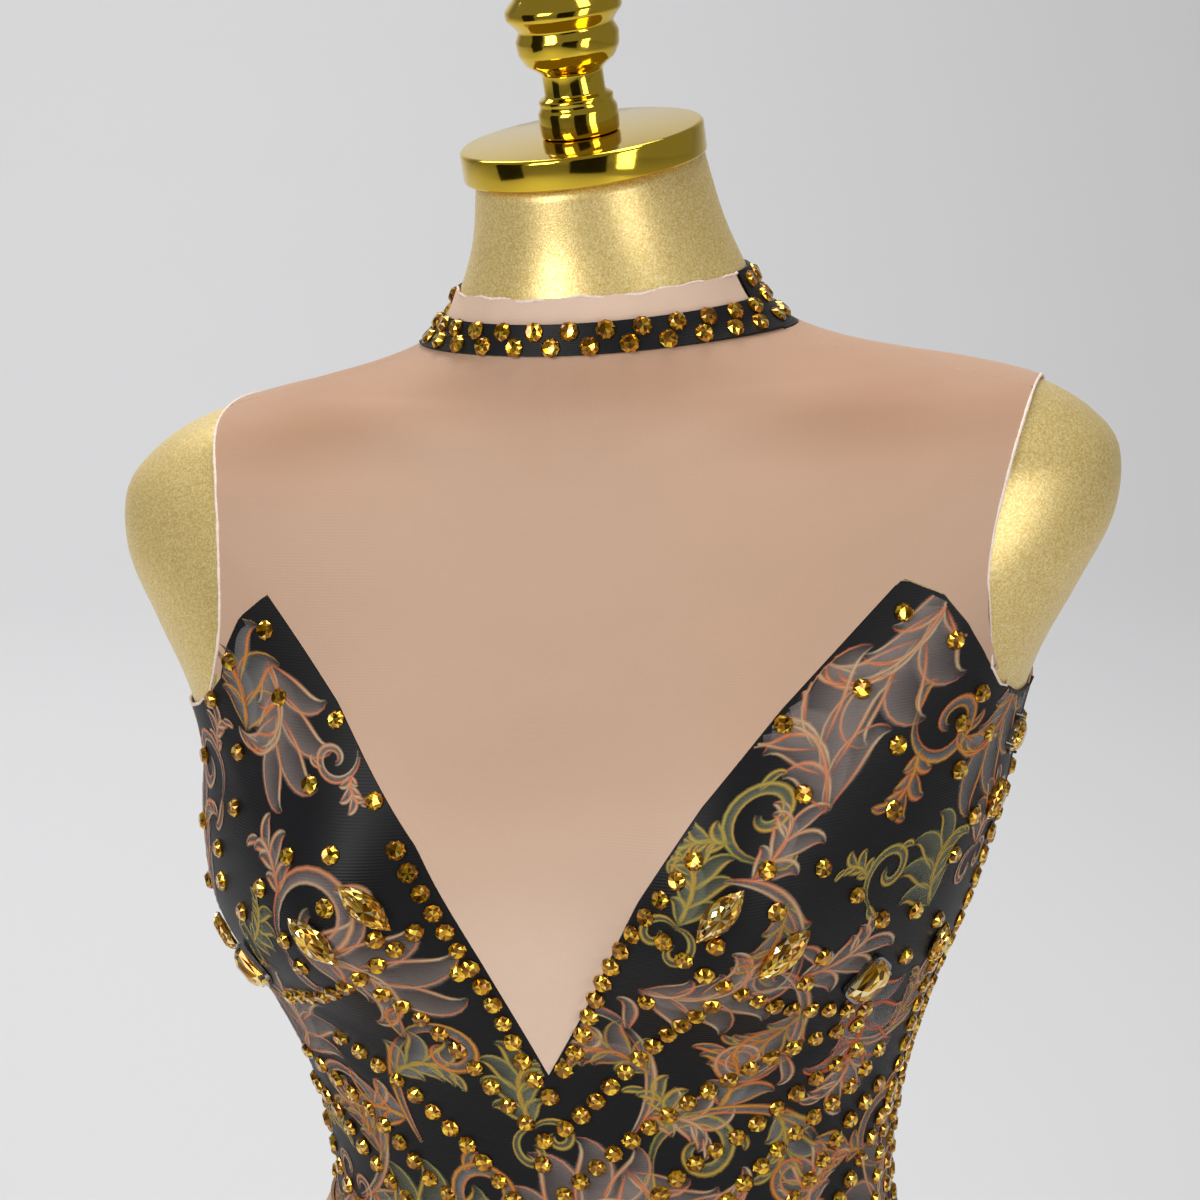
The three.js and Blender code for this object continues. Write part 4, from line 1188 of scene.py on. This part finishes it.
def collar_stone(u, height, turn, size, out):
    collar_stones.append(seat(math.radians(u), row_at(height), turn, (size,) * 3, out, False))


for first, count, level, turn in ((-72, 13, 347.6, 0.3), (-66, 12, 341.9, 0.5)):
    for k in range(count):
        collar_stone(first + 12 * k, level, turn * k, 7.3, 2.8)
for k in range(9):
    for level, shift in ((343, 0), (350, 5.5), (357, 0)):
        u = 84 + 11 * k + shift
        if u < 174:
            collar_stone(u, level, 0.4 * k, 7.0, 1.5)
            collar_stone(360 - u, level, 0.7 * k, 7.0, 1.5)
neck_stones = joined_copies("collar_stones", STONE, collar_stones, TOPAZ, FACET_GLINT_TONES)

# %% [markdown]
# The large gems are sewn on, not glued: marquise and navette stones, and an oval and two octagons
# in claw settings. A gem is a disc squeezed to its outline and raised in steps, girdle, crown
# and table, with the sides poked into facets.

# %% Large gems
GEM_SHAPES = {
    "marquise": {"length": 25, "width": 11, "height": 5.5, "corners": 16, "point": 2.0},
    "navette": {"length": 17, "width": 8, "height": 4.5, "corners": 16, "point": 1.9},
    "oval": {"length": 14, "width": 10, "height": 4.5, "corners": 16, "point": 1.0},
    "octagon": {"length": 18, "width": 13, "height": 6.0, "corners": 8, "point": 1.0},
}
GEM_STEPS = [(0.0, 0.90), (0.22, 1.0), (0.55, 0.88), (0.82, 0.70), (1.0, 0.44)]


def gem_template(kind):
    shape = GEM_SHAPES[kind]
    corners = shape["corners"]
    bm = bmesh.new()
    outline = []
    for k in range(corners):
        angle = k / corners * 2 * math.pi
        side = abs(math.sin(angle)) ** shape["point"] * math.copysign(1, math.sin(angle))
        outline.append((math.cos(angle), side))
    if kind == "octagon":
        outline = [(1, -0.55), (1, 0.55), (0.68, 1), (-0.68, 1),
                   (-1, 0.55), (-1, -0.55), (-0.68, -1), (0.68, -1)]
    outline = [(x * 0.5 * shape["length"], y * 0.5 * shape["width"]) for x, y in outline]
    rings = []
    for up, size in GEM_STEPS:
        rings.append([bm.verts.new((x * size, y * size, up * shape["height"])) for x, y in outline])
    bm.faces.new(list(reversed(rings[0])))
    table = bm.faces.new(rings[-1])
    bmesh.ops.poke(bm, faces=[table], offset=-0.5)
    for low, high in zip(rings, rings[1:]):
        for k in range(corners):
            n = (k + 1) % corners
            bm.faces.new((low[k], low[n], high[n], high[k]))
    bm.normal_update()
    crown = [f for f in bm.faces if 0.1 < f.normal.z < 0.9 and len(f.verts) == 4]
    bmesh.ops.poke(bm, faces=crown, offset=0.25)
    bmesh.ops.recalc_face_normals(bm, faces=bm.faces)
    return finished_mesh(bm, f"{kind} template")


CUP_MARGIN, CUP_HEIGHT, CLAW_HEIGHT = 1.0, 1.6, 3.2


def setting_template(kind):
    """A pressed metal cup: a stepped rim around the gem's foot, with a claw at each corner."""
    shape = GEM_SHAPES[kind]
    half = np.array([shape["length"], shape["width"]]) * 0.5 + CUP_MARGIN
    bm = bmesh.new()
    bmesh.ops.create_circle(bm, cap_ends=True, segments=24, radius=1)
    power = 0.45 if kind == "octagon" else 1.0
    for vert in bm.verts:
        x, y = vert.co.x, vert.co.y
        vert.co.x = math.copysign(abs(x) ** power, x) * half[0]
        vert.co.y = math.copysign(abs(y) ** power, y) * half[1]
    lifted = bmesh.ops.extrude_face_region(bm, geom=bm.faces[:])["geom"]
    bmesh.ops.translate(bm, vec=(0, 0, CUP_HEIGHT), verts=only_verts(lifted))
    for x in (-1, 1):
        for y in (-1, 1):
            claw = Matrix.Translation((x * half[0] * 0.72, y * half[1] * 0.80, CUP_HEIGHT))
            bmesh.ops.create_cone(bm, cap_ends=True, segments=8, radius1=1.1, radius2=0.5,
                                  depth=CLAW_HEIGHT, matrix=claw)
    bmesh.ops.recalc_face_normals(bm, faces=bm.faces)
    in_fixed_order(bm)
    return finished_mesh(bm, f"{kind} setting template")


# The gem's node, its shape, its angle round the body, its height and its turn.
GEMS = [
    ("gem_marquise_right_inner", "marquise", -19, 153, -45),
    ("gem_marquise_right_outer", "marquise", -26.5, 140, -40),
    ("gem_marquise_left_inner", "marquise", 25.5, 152, 45),
    ("gem_marquise_left_outer", "marquise", 36, 135, 42),
    ("gem_octagon_right", "octagon", -50, 113, -52), ("gem_octagon_left", "octagon", 54, 113, 48),
    ("gem_navette_right", "navette", -66, 116, -70), ("gem_navette_left", "navette", 73, 116, 80),
    ("gem_navette_left_side", "navette", 78, 166, 62), ("gem_oval_left_side", "oval", 83, 187, 60),
]
# Painted glints and dark reflections: each facet of a large gem gets one of these tones at random.
AMBER_GLINT_TONES = [linear(c) for c in ("#7c4c06", "#bb7a0c", "#ecb22c", "#ffd860",
                             "#fff0b4", "#98620a", "#d89c1e")]
templates = {kind: gem_template(kind) for kind in GEM_SHAPES}
gem_pieces = []
for node, kind, u, height, turn in GEMS:
    matrix = seat(math.radians(u), row_at(height), math.radians(turn), out=CLOTH_OUT + 0.4)
    gem = joined_copies(node + "_cut", templates[kind], [matrix], TOPAZ, AMBER_GLINT_TONES)
    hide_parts(node)
    gem_pieces.append(gem)
print("gems:", len(gem_pieces))


# %% [markdown]
# Gold metal comes in three finishes here. The form is sprayed satin gold with a fine sparkle,
# the turned cap, finial and stand are polished, and the claw settings and hooks are grey nickel.


# %% Metals
def satin_gold():
    material, tree, shader = new_material("satin gold spray lacquer", Metallic=0.45, Roughness=0.38)
    where = add_node(tree, "ShaderNodeTexCoord")
    flakes = add_node(tree, "ShaderNodeTexVoronoi", {"Scale": 1900.0}, Vector=where.outputs["Object"])
    tone = two_tones(tree, flakes.outputs["Color"], "#cda84e", "#f5e2a4")
    grain = add_node(tree, "ShaderNodeTexNoise", {"Scale": 1400.0, "Detail": 3.0},
                     Vector=where.outputs["Object"])
    add_relief(tree, shader, grain.outputs["Fac"], 0.25)
    tree.links.new(tone, shader.inputs["Base Color"])
    return material


def bright_metal(name, colour, scale, detail, low, high):
    """A polished metal with a faint haze, whose roughness runs from low to high."""
    material, tree, shader = new_material(name, Base_Color=linear(colour), Metallic=1.0)
    where = add_node(tree, "ShaderNodeTexCoord")
    haze = add_node(tree, "ShaderNodeTexNoise", {"Scale": scale, "Detail": detail},
                    Vector=where.outputs["Object"])
    rough = add_node(tree, "ShaderNodeMapRange", {"To Min": low, "To Max": high},
                     Value=haze.outputs["Fac"])
    tree.links.new(rough.outputs["Result"], shader.inputs["Roughness"])
    return material


SETTINGS = {kind: setting_template(kind) for kind in ("octagon", "oval")}
SATIN = satin_gold()
POLISHED = bright_metal("polished gold-plated brass", "#e6c23e", 60.0, 4.0, 0.04, 0.14)
NICKEL = bright_metal("nickel-plated claw setting", "#8e8b88", 300.0, 2.0, 0.18, 0.34)
PLAIN_TONE = [(0.5, 0.5, 0.5, 1)]
nape_hooks = tube("nape_hooks", hook_paths, 0.4 * MM, NICKEL)
for node, kind, u, height, turn in GEMS:
    if kind in SETTINGS:
        matrix = seat(math.radians(u), row_at(height), math.radians(turn), out=CLOTH_OUT + 0.1)
        name = node.replace("gem", "setting")
        cup = joined_copies(name, SETTINGS[kind], [matrix], NICKEL, PLAIN_TONE)
print("metals ready")

# %% [markdown]
# The form itself is a smooth moulding. It is the same surface that the cloth was laid on, here
# as one closed skin, with two short thigh stumps that stand on the stand's plate.

# %% Torso
# A thigh stump's rings: height, half width, half depth, and its middle's place aside and behind.
STUMP_ROWS = np.array([
    (-120, 30, 34, 84, 6), (-185, 52, 54, 94, 8), (-230, 62, 64, 97, 8), (-270, 65, 80, 98, 6),
    (-330, 61, 76, 98, 4),
])
STUMP_CORNERS = 64


def make_stump(bm, side):
    loops = []
    for height in np.linspace(-120, -330, 22):
        half_w, half_d, out, back = (np.interp(-height, -STUMP_ROWS[:, 0], column)
                                     for column in STUMP_ROWS.T[1:])
        centre = Matrix.Translation((side * out * MM, back * MM, (WAIST + height) * MM))
        size = Matrix.Diagonal((half_w * MM, half_d * MM, 1, 1))
        loops.append(bmesh.ops.create_circle(bm, cap_ends=False, segments=STUMP_CORNERS, radius=1,
                                             matrix=centre @ size)["verts"])
    for a, b in zip(loops, loops[1:]):
        for k in range(STUMP_CORNERS):
            n = (k + 1) % STUMP_CORNERS
            bm.faces.new((a[k], a[n], b[n], b[k]))
    bm.faces.new(loops[0])
    bm.faces.new(loops[-1])


def make_torso():
    bm = bmesh.new()
    around, up = 160, 200
    bmesh.ops.create_grid(bm, x_segments=around, y_segments=up, size=0.5)
    grid = np.array([v.co for v in bm.verts])
    rows = arc_rows(-268, 404, up)
    u = (grid[:, 0] + 0.5) * 2 * math.pi
    row = np.interp((grid[:, 1] + 0.5) * up, np.arange(up + 1), rows)
    for vert, place in zip(bm.verts, on_cloth(u, row, np.zeros(len(u)), creased=False)):
        vert.co = place
    bmesh.ops.remove_doubles(bm, verts=bm.verts, dist=0.00002)
    bmesh.ops.holes_fill(bm, edges=[e for e in bm.edges if e.is_boundary], sides=0)
    for side in (-1, 1):
        make_stump(bm, side)
    bmesh.ops.recalc_face_normals(bm, faces=bm.faces)
    return link_piece("dress_form_body", finished_mesh(bm, "dress_form_body"), SATIN)


torso = make_torso()
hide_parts("form_torso")

# %% [markdown]
# Cap, finial, plate, pole and base are turned or pressed metal. Spin sweeps a profile round an
# axis with enough steps to look round, then the piece is set on the neck's tipped top face.


# %% Turned metal
def turned(name, profile, node, frame_matrix=Matrix(), steps=96):
    bm = bmesh.new()
    verts = [bm.verts.new((r * MM, 0, z * MM)) for r, z in profile]
    edges = [bm.edges.new(pair) for pair in zip(verts, verts[1:])]
    bmesh.ops.spin(bm, geom=verts + edges, cent=(0, 0, 0), axis=(0, 0, 1), angle=2 * math.pi, steps=steps,
                   use_merge=True)
    bmesh.ops.remove_doubles(bm, verts=bm.verts, dist=0.00001)
    bmesh.ops.recalc_face_normals(bm, faces=bm.faces)
    bmesh.ops.transform(bm, matrix=frame_matrix, verts=bm.verts)
    in_fixed_order(bm)
    piece = link_piece(name, finished_mesh(bm, name), POLISHED)
    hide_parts(node)


def rounded_profile(points, radius=0.8):
    """Takes the sharpness off each corner of a profile with a short two-step round."""
    out = [points[0]]
    for before, here, after in zip(points, points[1:], points[2:]):
        a, b, c = (np.array(p, float) for p in (before, here, after))
        r = min(radius, 0.4 * np.linalg.norm(b - a), 0.4 * np.linalg.norm(c - b))
        start = b + (a - b) / np.linalg.norm(a - b) * r
        end = b + (c - b) / np.linalg.norm(c - b) * r
        out += [tuple(start), tuple(0.25 * start + 0.5 * b + 0.25 * end), tuple(end)]
    return out + [points[-1]]


front, back = form_point(0, LAST_ROW), form_point(math.pi, LAST_ROW)
left, right = form_point(math.pi / 2, LAST_ROW), form_point(-math.pi / 2, LAST_ROW)
to_left = Vector(left - right).normalized()
neck_up = to_left.cross(Vector(back - front)).normalized()
squared = neck_up.cross(to_left)
neck_middle = Vector((front + back) / 2 + np.array([0, 0, WAIST])) * MM + neck_up * SEAM * MM
neck_frame = Matrix.Translation(neck_middle) @ Matrix((to_left, squared, neck_up)).transposed().to_4x4()

CAP_PROFILE = [(0, 0), (45.5, 0), (45.5, 10.5), (44.5, 11.5), (0, 11.5)]
FINIAL_FOOT = 11.8
FINIAL_PROFILE = [
    (0, 0), (14.5, 0), (14.8, 3), (14.8, 9), (13.5, 11), (14, 13.5), (11.3, 15), (11.3, 23), (13, 24.5),
    (16.5, 27), (18.7, 31), (19.2, 36), (17.5, 39.5), (19, 41.5), (21.6, 44.5), (21.6, 47.5), (17.5, 52),
    (15.6, 56), (16.5, 60), (20, 64), (20, 69), (15.5, 73), (11, 77), (9, 83), (12, 88), (14, 95),
    (13, 102), (9, 108), (4.5, 111.5), (0, 112.5),
]
POLE_PROFILE = [
    (0, 12.3), (32, 12.3), (32, 18.3), (14, 20.3), (14, 173.4), (32, 175.4), (32, 181.4), (0, 181.4),
]
BASE_PROFILE = [(0, 0), (165, 0), (165, 9), (162, 12), (0, 12)]
turned("neck_cap_turned", rounded_profile(CAP_PROFILE), "neck_cap", neck_frame)
turned("finial_turned", rounded_profile(FINIAL_PROFILE), "finial",
       neck_frame @ Matrix.Translation((0, 0, FINIAL_FOOT * MM)), 64)
turned("stand_pole_turned", rounded_profile(POLE_PROFILE), "stand_pole", steps=64)
turned("stand_base_turned", rounded_profile(BASE_PROFILE, 1.5), "stand_base", steps=128)


# %% Bottom plate
PLATE = {"half_width": 168, "half_depth": 74, "middle_y": 4, "low": 181.7, "thick": 8, "round": 1.2}


def make_plate():
    bm = bmesh.new()
    middle = Matrix.Translation((0, PLATE["middle_y"] * MM, PLATE["low"] * MM))
    size = Matrix.Diagonal((PLATE["half_width"] * MM, PLATE["half_depth"] * MM, 1, 1))
    bmesh.ops.create_circle(bm, cap_ends=True, segments=96, radius=1, matrix=middle @ size)
    lifted = bmesh.ops.extrude_face_region(bm, geom=bm.faces[:])["geom"]
    bmesh.ops.translate(bm, vec=(0, 0, PLATE["thick"] * MM), verts=only_verts(lifted))
    rim = [e for e in bm.edges if len(e.link_faces) == 2 and e.calc_face_angle(0) > 1]
    bmesh.ops.bevel(bm, geom=rim, offset=PLATE["round"] * MM, segments=3, affect="EDGES", profile=0.5,
                    material=-1)
    bmesh.ops.recalc_face_normals(bm, faces=bm.faces)
    piece = link_piece("bottom_plate_pressed", finished_mesh(bm, "bottom_plate_pressed"), POLISHED)
    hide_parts("bottom_plate")


make_plate()

# %% [markdown]
# Dance fringe is chainette: hundreds of glossy looped threads hanging from a woven tape. The
# tape is stitched round the waist, and the threads spring out over the hips before they drop.
# Each thread is a thin curve with its own sway and length, in three layers, so that light
# falls between them.


# %% Fringe
def fringe_material():
    material, tree, shader = new_material("gold chainette fringe, viscose", Roughness=0.38, Sheen_Weight=0.4)
    thread = add_node(tree, "ShaderNodeAttribute", {"attribute_name": "thread"})
    tree.links.new(two_tones(tree, thread.outputs["Fac"], "#9c680f", "#f2c446"), shader.inputs["Base Color"])
    where = add_node(tree, "ShaderNodeTexCoord")
    # Loops of the chainette, one every 1.5 mm down the thread.
    loops = add_node(tree, "ShaderNodeTexWave", {"bands_direction": "Z", "Scale": 209.0, "Distortion": 1.5},
                     Vector=where.outputs["Object"])
    add_relief(tree, shader, loops.outputs["Fac"], 0.5)
    return material


FRINGE = fringe_material()
THREADS = 1500
FRINGE_END = -318
# Height and distance out of a thread's upper points.
FRINGE_STATIONS = [(-14, 2.9), (-22, 3.6), (-50, 6.0), (-82, 7.6), (-120, 8.0), (-150, 8.4), (-172, 8.8)]


def thread_paths():
    """All threads at once, as an array of thread, point and place."""
    noise = np.random.default_rng(11)
    k = np.arange(THREADS)
    u = 2 * math.pi * (k + noise.uniform(-0.4, 0.4, THREADS)) / THREADS
    sway = noise.uniform(-0.012, 0.012, THREADS)
    height, out = np.array(FRINGE_STATIONS, float).T
    step = np.arange(len(height))
    layer = (k % 3 - 1)[:, None] * 0.9 * np.minimum(step, 3) / 3
    loose = noise.uniform(-0.25, 0.25, (THREADS, len(step))) * np.minimum(step, 2)
    angle = u[:, None] + sway[:, None] * step / 6
    upper = on_cloth(angle, row_at(height)[None, :], out + layer + loose, False)
    last = upper[:, -1]
    outward = last * (1, 1, 0)
    outward /= np.linalg.norm(outward, axis=1, keepdims=True)
    side = np.stack([-outward[:, 1], outward[:, 0], np.zeros(THREADS)], 1)
    end = FRINGE_END + 5 * np.sin(2.4 * k) + noise.uniform(-6, 6, THREADS)
    lean = noise.uniform(-3, 3, THREADS)
    lower = []
    for share in (0.33, 0.66, 1.0):
        point = last + (outward * 5 * share + side * (lean * share)[:, None]) * MM
        point[:, 2] = (WAIST + height[-1] + share * (end - height[-1])) * MM
        lower.append(point)
    return np.concatenate([upper, np.stack(lower, 1)], 1)


fringe = tube("fringe_threads", thread_paths(), 0.55 * MM, FRINGE, sides=0)
thread_tones = fringe.data.attributes.new("thread", "FLOAT", "POINT")
per_thread = len(fringe.data.vertices) // THREADS
tones = np.repeat([random.random() ** 0.8 for _ in range(THREADS)], per_thread)
tones = np.pad(tones, (0, len(fringe.data.vertices) - len(tones)), constant_values=0.5)
thread_tones.data.foreach_set("value", tones)
tape = make_panel("fringe_tape", (0, 360), (-22, -8), (240, 5), everywhere, out=3.35, wall=1.2,
                  creased=False)
tape.data.materials.append(FRINGE)
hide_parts("fringe_waist")

# %% [markdown]
# Each panel is listed with its sheet: the size it was cut to, before it was stretched over the
# form. Stretch knit for dance is cut about a tenth smaller than the body, so the flat areas
# are smaller than what is seen here.

SHEET_COLUMNS = ("piece", "width", "length", "area", "rests_on", "with_pieces")
SHEETS = [
    (yoke_front, 0.310, 0.300, 0.0465, ["form_torso"], [collar_edge, armhole_edge]),
    (yoke_back, 0.330, 0.190, 0.0540, ["form_torso"], [shoulder_seams]),
    (bodice_front, 0.390, 0.490, 0.1350, ["form_torso"],
     [front_print, front_stones, side_seams, leg_bindings]),
    (bodice_back, 0.390, 0.450, 0.1370, ["form_torso"], [back_print, back_stones]),
    (band_front, 0.160, 0.0125, 0.0019, ["yoke_front"], [neck_stones]),
    (band_left, 0.100, 0.022, 0.0021, ["form_torso"], [nape_hooks]),
    (band_right, 0.100, 0.022, 0.0021, ["form_torso"], []),
    (tape, 0.640, 0.014, 0.0089, ["bodice_front", "bodice_back"], [fringe]),
]
for values in SHEETS:
    sheet = dict(zip(SHEET_COLUMNS, values))
    worn = sum(p.area for p in sheet["piece"].data.polygons)
    print(f"{sheet['piece'].name}: cut {sheet['area']:.4f} m2, worn {worn:.4f} m2")

# %% [markdown]
# The floor is pale paper that sweeps up behind in one soft bend, so no line shows where it
# turns. A large soft light stands in front on the left, a narrower one on the right, a strip
# above, and one more lights the paper itself. Two black cards, which the camera doesn't see, give
# the polished metal something dark to mirror. The camera stands a little above the chest and to
# the wearer's left, with a long lens.

# %% Paper sweep
AZIMUTH = math.radians(13.1)
BEHIND = np.array([-math.sin(AZIMUTH), math.cos(AZIMUTH)])
ALONG = np.array([math.cos(AZIMUTH), math.sin(AZIMUTH)])


def sweep_point(t):
    """Distance behind the object and height of the paper at a share of its length."""
    start, bend_at, radius, top = -5.0, 3.4, 1.4, 5.0
    bend = radius * math.pi / 2
    s = t * (bend_at - start + bend + top - radius)
    if s < bend_at - start:
        return start + s, 0.0
    s -= bend_at - start
    if s < bend:
        return bend_at + radius * math.sin(s / radius), radius * (1 - math.cos(s / radius))
    return bend_at + radius, radius + s - bend


def stage_piece(name, bm, material_name, colour):
    """A piece of the studio, not of the object, in one matt colour."""
    mesh = finished_mesh(bm, name)
    mesh.materials.append(new_material(material_name, Base_Color=linear(colour), Roughness=0.9)[0])
    piece = bpy.data.objects.new(name, mesh)
    bpy.context.collection.objects.link(piece)
    return piece


def make_sweep():
    bm = bmesh.new()
    bmesh.ops.create_grid(bm, x_segments=1, y_segments=60, size=0.5)
    for vert in bm.verts:
        away, height = sweep_point(vert.co.y + 0.5)
        place = BEHIND * away + ALONG * vert.co.x * 14
        vert.co = (*place, height)
    sweep = stage_piece("paper_sweep", bm, "matt background paper", "#dcdcdd")
    sweep.data.shade_smooth()
    print("sweep:", len(sweep.data.polygons), "faces")


make_sweep()


# %% Dark cards
CARDS = [
    {"name": "card_behind_camera", "away": 2.4, "aside": 0.2, "width": 1.5, "low": 0.0, "high": 1.7},
    {"name": "card_left", "away": 0.6, "aside": -2.0, "width": 1.1, "low": 0.0, "high": 1.7},
]


def make_card(card):
    """A black card that stands in front and that the camera doesn't see."""
    bm = bmesh.new()
    bmesh.ops.create_grid(bm, x_segments=1, y_segments=1, size=0.5)
    middle = ALONG * card["aside"] - BEHIND * card["away"]
    across = np.array([-middle[1], middle[0]]) / np.linalg.norm(middle)
    for vert in bm.verts:
        height = card["low"] + (vert.co.y + 0.5) * (card["high"] - card["low"])
        vert.co = (*(middle + across * vert.co.x * card["width"]), height)
    stage_piece(card["name"], bm, "black card", "#0a0a0a").visible_camera = False


for card in CARDS:
    make_card(card)


# %% Light and camera
def area_light(name, place, target, size, power):
    data = bpy.data.lights.new(name, "AREA")
    data.shape = "RECTANGLE"
    data.size, data.size_y = size
    data.energy = power
    lamp = bpy.data.objects.new(name, data)
    lamp.location = place
    lamp.rotation_euler = (Vector(target) - Vector(place)).to_track_quat("-Z", "Y").to_euler()
    bpy.context.collection.objects.link(lamp)


CHEST = (0, 0, 0.72)
ABOVE_PAPER = (*(BEHIND * 1.9 - ALONG * 1.1), 3.4)
ON_PAPER = (*(BEHIND * 3.2 - ALONG * 0.4), 0.8)
area_light("key softbox", (-0.9, -1.7, 1.5), CHEST, (0.8, 1.0), 24.5)
area_light("fill softbox", (1.6, -1.2, 1.0), CHEST, (0.6, 1.4), 13.5)
area_light("top strip", (0.1, 0.1, 1.9), CHEST, (1.2, 0.3), 6)
area_light("paper light", ABOVE_PAPER, ON_PAPER, (3.6, 2.0), 100)
world = bpy.data.worlds.new("studio")
world.use_nodes = True
backdrop = world.node_tree.nodes["Background"]
backdrop.inputs["Color"].default_value = linear("#d9d9da")
backdrop.inputs["Strength"].default_value = 0.34
bpy.context.scene.world = world

FRAME_PX, SENSOR = 1200, 36
CAMERA = {"elevation": 12.9, "distance": 1.15, "target": (-0.0034, 0.0, 0.756), "focal_px": 2988}
elevation = math.radians(CAMERA["elevation"])
back_way = Vector((math.sin(AZIMUTH) * math.cos(elevation), -math.cos(AZIMUTH) * math.cos(elevation),
                   math.sin(elevation)))
camera_data = bpy.data.cameras.new("camera")
camera_data.sensor_width = SENSOR
camera_data.lens = CAMERA["focal_px"] / FRAME_PX * SENSOR
camera = bpy.data.objects.new("camera", camera_data)
camera.location = Vector(CAMERA["target"]) + back_way * CAMERA["distance"]
camera.rotation_euler = back_way.to_track_quat("Z", "Y").to_euler()
bpy.context.collection.objects.link(camera)
bpy.context.scene.camera = camera
bpy.context.scene.view_settings.view_transform = "Standard"
print(f"lens {camera_data.lens:.1f} mm")

# %% Free the templates
for template in [STONE, *templates.values(), *SETTINGS.values()]:
    bpy.data.meshes.remove(template)
